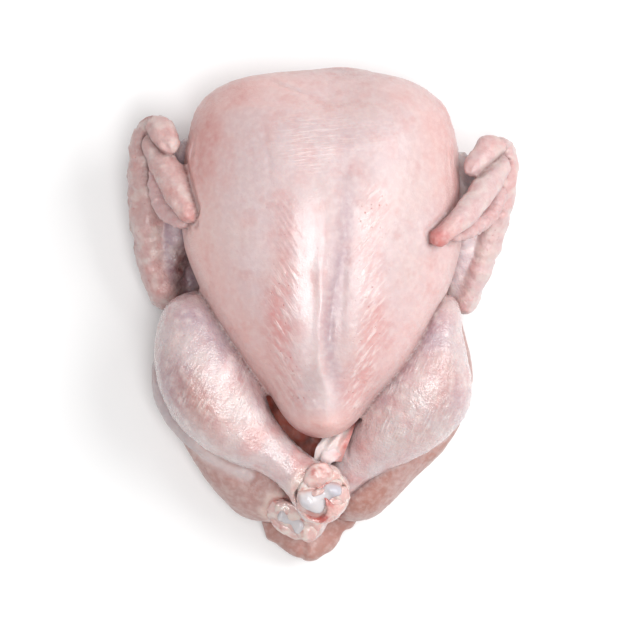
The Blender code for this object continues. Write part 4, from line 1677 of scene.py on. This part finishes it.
@dataclass(frozen=True)
class Hock:
    """A cut hock: the joint's cartilage spool in a torn rim of skin, with pads and sinews.

    Attributes:
        side: name of the side.
        middle: middle of the cut end, in millimetres on the drawing.
        axle: direction of the spool's axle.
        outward: direction that the cut end faces.
        rim: half-width and half-length of the skin's rim, along the axle and across it.
        lobes: place along the axle, half-length across it and height of each rounded lobe.
        waist: place, half-length and height of the spool's narrowest place.
        lift: how far the spool's middle line lies above the cut end.
        sunk: how deep the cut end lies below its rim.
        cool: added to the share of blue in the cartilage.
        lean: how far the spool's sections lean along the axle, as a share of their half-length.
        uneven: height of the spool's unevenness.
        wobble: unevenness of a lump of tissue, as a share of its size.
        pads: each lump of tissue's place along the axle, across it and outwards, then its three
            half-sizes.
    """

    side: str
    middle: tuple[float, float, float]
    axle: tuple[float, float, float]
    outward: tuple[float, float, float]
    rim: tuple[float, float]
    lobes: tuple[tuple[float, float, float], tuple[float, float, float]]
    waist: tuple[float, float, float]
    lift: float
    sunk: float = 0.5
    cool: float = 0.0
    lean: float = -0.28
    uneven: float = 1.3
    wobble: float = 0.24
    pads: tuple[tuple[float, ...], ...] = ()

    def axes(self) -> tuple[np.ndarray, np.ndarray, np.ndarray]:
        """Unit vectors along the axle, across it and out of the cut end."""
        out = np.array(self.outward, float)
        out /= np.linalg.norm(out)
        along = np.array(self.axle, float)
        along -= out * (along @ out)
        along /= np.linalg.norm(along)
        return along, np.cross(out, along), out

    def local(self, points: np.ndarray) -> np.ndarray:
        """Places along the axle, across it and outwards, from the middle of the cut end."""
        return (points - np.array(self.middle)) @ np.stack(self.axes()).T

    def ring(self, points: np.ndarray) -> tuple[np.ndarray, np.ndarray]:
        """Distance from the rim's line in millimetres, negative inside, and nearness in depth."""
        u, v, w = self.local(points).T
        turn = np.arctan2(v / self.rim[1], u / self.rim[0])
        ragged = 1 + 0.07 * np.sin(3 * turn + 1) + 0.05 * np.sin(7 * turn + 2)
        scaled = np.hypot(u / self.rim[0], v / self.rim[1]) / ragged
        return (scaled - 1) * min(self.rim), bell(w, 0, 9)

    def hollowed(self, points: np.ndarray) -> np.ndarray:
        """Sink the cut end and raise its rim.

        Args:
            points: places of the skin.

        Returns:
            The moved places.
        """
        away, level = self.ring(points)
        out = self.axes()[2]
        sink = -self.sunk * step_up(away, 0.5, -3.0) * level
        raised = 0.8 * bell(away, 0.4, 1.5) * level * (0.5 + 0.7 * rough(points, 5, 401))
        flesh = 1.1 * rough(points, 4.5, 402, octaves=2) * step_up(away, 0, -2) * level
        return points + out * (sink + raised + flesh)[:, None]

    def tinted(self, skin: Survey, tone: np.ndarray) -> np.ndarray:
        """Colour the rim cream and the sunk tissue pink, white and grey."""
        away, level = self.ring(skin.points)
        inside = step_up(away, 0.5, -1.5) * level
        speck = rough(skin.points, 4.5, 403)
        tone = mixed(tone, Tints.raw, 0.8 * inside)
        tone = mixed(tone, Tints.fascia, inside * step_up(speck, 0.1, 0.5))
        tone = mixed(tone, Tints.clot, inside * 0.85 * step_up(speck, -0.15, -0.6))
        return mixed(tone, Tints.rim, 0.6 * bell(away, 0.8, 1.5) * level)

    def spool(self) -> bpy.types.Object:
        """The cartilage: an oval section carried along the axle, wide at the lobes.

        Returns:
            The piece.
        """
        along, across, out = self.axes()
        (u1, v1, w1), (u2, v2, w2) = self.lobes
        um, vm, wm = self.waist
        first = (u1 - 0.6 * v1, 0.45 * v1, 0.5 * w1)
        last = (u2 + 0.85 * v2, 0.45 * v2, 0.5 * w2)
        curve = smooth_line(np.array((first, (u1, v1, w1), (um, vm, wm), (u2, v2, w2), last)), 72)
        share = np.linspace(0, 1, len(curve))
        close = np.sqrt(np.clip(1 - np.abs(2 * share - 1) ** 7, 0, 1))[:, None]
        turn = np.linspace(0, 2 * math.pi, 64, endpoint=False)
        wide = curve[:, 1:2] * close * np.cos(turn)
        high = curve[:, 2:3] * close * np.sin(turn)
        base = np.array(self.middle) + out * self.lift
        leaning = across + self.lean * along
        rings = base + curve[:, :1, None] * along + wide[..., None] * leaning + high[..., None] * out
        noise = rough(rings.reshape(-1, 3), 6, 411, octaves=2).reshape(rings.shape[:2])
        outwards = (rings - base - curve[:, :1, None] * along) / max(v1, w1)
        rings = rings + self.uneven * noise[..., None] * outwards
        mesh = closed_tube(f"cartilage_{self.side}", rings[1:-1], rings[0, 0], rings[-1, 0])
        item = new_object(f"cartilage_{self.side}", mesh)
        u, _, w = self.local(places_of(mesh)).T
        low = step_up(w, 0.62 * w1 + self.lift, 0.1 * w1 + self.lift)
        paint_vertices(mesh, "cool", np.clip(0.1 + 0.6 * step_up(u, um - 1, u2) + self.cool, 0, 1))
        paint_vertices(mesh, "stain", np.clip(low * (0.7 + 0.5 * rough(places_of(mesh), 3, 412)), 0, 1))
        mesh.materials.append(Cartilage().make())
        return item

    def tissue(self, number: int) -> bpy.types.Object:
        """A small lump of sinew, fat or skin on the cut end: a wobbly ellipsoid.

        Args:
            number: which of the pads, also for its seeds.

        Returns:
            The piece, tinted in pink, cream and blood red.
        """
        name = f"tissue_{self.side}_{number}"
        u, v, w, *sizes = self.pads[number]
        along, across, out = self.axes()
        rise = np.linspace(0, math.pi, 22)[1:-1, None]
        turn = np.linspace(0, 2 * math.pi, 36, endpoint=False)
        flat = np.sin(rise)
        ball = np.stack([flat * np.cos(turn), flat * np.sin(turn), np.cos(rise) + 0 * turn], axis=-1)
        noise = rough(ball.reshape(-1, 3) * 3, 2.2, 420 + number, octaves=3).reshape(ball.shape[:2])
        scaled = ball * (1 + self.wobble * noise)[..., None] * np.array(sizes)
        base = np.array(self.middle) + u * along + v * across + w * out
        rings = base + scaled @ np.stack([along, across, out])
        mesh = closed_tube(name, rings, base + sizes[2] * out, base - sizes[2] * out)
        points = places_of(mesh)
        cream = step_up(rough(points, 3.5, 430 + number), -0.1, 0.5)
        blood = step_up(rough(points, 3, 440 + number), -0.45, -0.8)
        tone = mixed(plain(Tints.tissue, len(points)), Tints.tendon, 0.8 * cream)
        paint_vertices(mesh, "tint", mixed(tone, Tints.clot, 0.6 * blood))
        paint_vertices(mesh, "wet", np.full(len(points), 0.6))
        return new_object(name, mesh)


HOCKS = (
    Hock(
        side="left",
        middle=(-1.8, -96.2, 75.0),
        axle=(0.88, 0.47, 0.0),
        outward=(0.2, -0.3, 0.93),
        rim=(15.0, 15.5),
        lobes=((-7.0, 8.6, 5.2), (7.8, 4.6, 4.8)),
        waist=(1.6, 4.4, 4.0),
        lift=-1.2,
        pads=(
            (0.0, 0.0, -3.2, 12.0, 12.5, 2.8),
            (3.5, 9.5, -2.6, 8.5, 6.0, 4.4),
            (8.5, -5.0, -2.2, 5.0, 6.0, 3.0),
            (3.0, -8.0, -1.8, 6.0, 5.0, 3.0),
            (-0.5, 3.6, 1.2, 3.6, 2.0, 2.4),
        ),
    ),
    Hock(
        side="right",
        middle=(-18.5, -112.0, 46.0),
        axle=(0.84, -0.54, 0.0),
        outward=(-0.25, -0.42, 0.87),
        rim=(16.5, 11.0),
        lobes=((-5.5, 5.0, 5.0), (5.5, 4.6, 4.6)),
        waist=(0.0, 3.4, 3.0),
        lift=-1.8,
        cool=-0.4,
        pads=(
            (0.0, 0.0, -2.8, 15.0, 9.5, 3.2),
            (10.5, -2.0, -1.5, 6.0, 5.0, 3.2),
            (-1.0, -6.5, -1.5, 9.0, 3.4, 2.8),
            (-8.0, 3.5, -1.6, 5.0, 4.0, 3.0),
        ),
    ),
)


@dataclass(frozen=True)
class Membrane:
    """The thin loose membrane between the breast's tip and the crossed shanks.

    Attributes:
        left: the free edge's places from the tip to the upper shank, in millimetres.
        right: the other edge's places, which lie on the lower shank.
        thickness: of the sheet.
        fold: height of its folds.
        rows: rings from the tip to the shanks.
        wet: weight of its wet film.
    """

    left: tuple = ((0.5, -61, 55), (-1.5, -66.5, 59), (-4.8, -71.5, 61), (-6.0, -78.5, 59))
    right: tuple = ((17, -57, 54), (15.0, -63, 58.5), (12.5, -69.5, 60.5), (9, -79, 56))
    thickness: float = 0.7
    fold: float = 0.65
    rows: int = 40
    wet: float = 0.15

    def build(self) -> bpy.types.Object:
        """Make the sheet: flat rings from edge to edge, lifted into folds that fan out.

        Returns:
            The piece.
        """
        edges = (smooth_line(np.array(edge, float), self.rows) for edge in (self.left, self.right))
        left, right = (edge[:, None] for edge in edges)
        turn = np.linspace(0, 2 * math.pi, 72, endpoint=False)
        across = 0.5 - 0.5 * np.cos(turn)
        rings = left + (right - left) * across[:, None]
        share = np.linspace(0, 1, self.rows)[:, None]
        waves = np.sin(2 * math.pi * (2.3 * across + 0.4 * share)) * np.sin(math.pi * across)
        noise = rough(rings.reshape(-1, 3), 5, 501, octaves=2).reshape(rings.shape[:2])
        rings[..., 2] += self.fold * (waves + 0.6 * noise) + 0.5 * self.thickness * np.sin(turn)
        mesh = closed_tube("vent_membrane", rings, rings[0].mean(0), rings[-1].mean(0))
        points = places_of(mesh)
        # The two end points of the tube lie halfway across.
        edge = np.concatenate([np.tile(across, self.rows), [0.5, 0.5]])
        pink = step_up(rough(points, 5, 502), -0.3, 0.4) * step_up(edge, 0.1, 0.4)
        tone = mixed(plain(Tints.veil, len(points)), Tints.veil_rose, 0.7 * pink)
        tone = mixed(tone, Tints.red, 0.7 * step_up(edge, 0.75, 0.95))
        paint_vertices(mesh, "tint", tone)
        paint_vertices(mesh, "wet", np.full(len(points), self.wet))
        return new_object("vent_membrane", mesh)


class Studio:
    """The pale floor, the soft light and the camera straight above."""

    KEY_PLACE = (0.95, 0.35, 1.15)
    KEY_SIZE = (0.9, 0.8)
    KEY_POWER = 13.2
    TOP_PLACE = (0.08, -0.16, 1.6)
    TOP_SIZE = (0.5, 0.8)
    TOP_POWER = 14.5
    AIM = (0, 0, 0.05)
    SKY = 0.45
    SENSOR = 36.0
    FLOOR_REACH = 4.0

    def build(self) -> bpy.types.Object:
        """Make the floor, lights and camera.

        Returns:
            The floor.
        """
        scene = bpy.context.scene
        scene.view_settings.view_transform = "Standard"
        self.camera(scene)
        self.sky(scene)
        self.light("key", self.KEY_PLACE, self.KEY_SIZE, self.KEY_POWER)
        self.light("top", self.TOP_PLACE, self.TOP_SIZE, self.TOP_POWER)
        return self.floor()

    def camera(self, scene: bpy.types.Scene) -> None:
        """Look straight down, so that a millimetre on the picture level has its size in the picture."""
        lens = bpy.data.cameras.new("camera")
        lens.sensor_width = self.SENSOR
        distance = (CAMERA_HEIGHT - PICTURE_LEVEL) * MM
        lens.lens = self.SENSOR * distance / (PICTURE_SIDE * PICTURE_SCALE * MM)
        holder = bpy.data.objects.new("camera", lens)
        holder.location = (CAMERA_PLACE[0] * MM, CAMERA_PLACE[1] * MM, CAMERA_HEIGHT * MM)
        scene.collection.objects.link(holder)
        scene.camera = holder

    def sky(self, scene: bpy.types.Scene) -> None:
        """Even white light from all around."""
        world = bpy.data.worlds.new("studio")
        world.use_nodes = True
        world.node_tree.nodes["Background"].inputs[0].default_value = (1.0, 1.0, 1.0, 1.0)
        world.node_tree.nodes["Background"].inputs[1].default_value = self.SKY
        scene.world = world

    def light(self, name: str, spot: tuple, size: tuple, power: float) -> None:
        """Add a soft box that points at the bird.

        Args:
            name: the light's name.
            spot: its place in metres.
            size: its sides in metres.
            power: in watts.
        """
        lamp = bpy.data.lights.new(name, "AREA")
        lamp.shape = "RECTANGLE"
        lamp.size, lamp.size_y = size
        lamp.energy = power
        holder = bpy.data.objects.new(name, lamp)
        holder.location = spot
        aim = Vector(self.AIM) - Vector(spot)
        holder.rotation_euler = aim.to_track_quat("-Z", "Y").to_euler()
        bpy.context.scene.collection.objects.link(holder)

    def floor(self) -> bpy.types.Object:
        """A wide pale plane at the height of the bird's rest."""
        mesh = bpy.data.meshes.new("floor")
        reach = self.FLOOR_REACH
        corners = [(-reach, -reach, 0), (reach, -reach, 0), (reach, reach, 0), (-reach, reach, 0)]
        mesh.from_pydata(corners, [], [(0, 1, 2, 3)])
        item = new_object("floor", mesh)
        mesh.materials.append(Plaster().make())
        return item


def main() -> None:
    """Build the studio, the skin, the hocks and the membrane, and report each piece."""
    logging.basicConfig(level=logging.INFO, format="%(name)s: %(message)s")
    Studio().build()
    skin = SkinPiece(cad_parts["chicken"]).build()
    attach(skin, "root")
    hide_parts("chicken")
    log.info("%s: %d triangles", skin.name, len(skin.data.polygons))
    for hock in HOCKS:
        spool = hock.spool()
        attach(spool, "root")
        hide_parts(f"hock_bone_{hock.side}")
        log.info("%s: %d faces", spool.name, len(spool.data.polygons))
        for number in range(len(hock.pads)):
            lump = hock.tissue(number)
            lump.data.materials.append(skin.data.materials[0])
            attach(lump, "root")
            log.info("%s: %d faces", lump.name, len(lump.data.polygons))
    membrane = Membrane().build()
    membrane.data.materials.append(skin.data.materials[0])
    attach(membrane, "root")
    log.info("%s: %d faces", membrane.name, len(membrane.data.polygons))


if __name__ == "__main__":
    main()
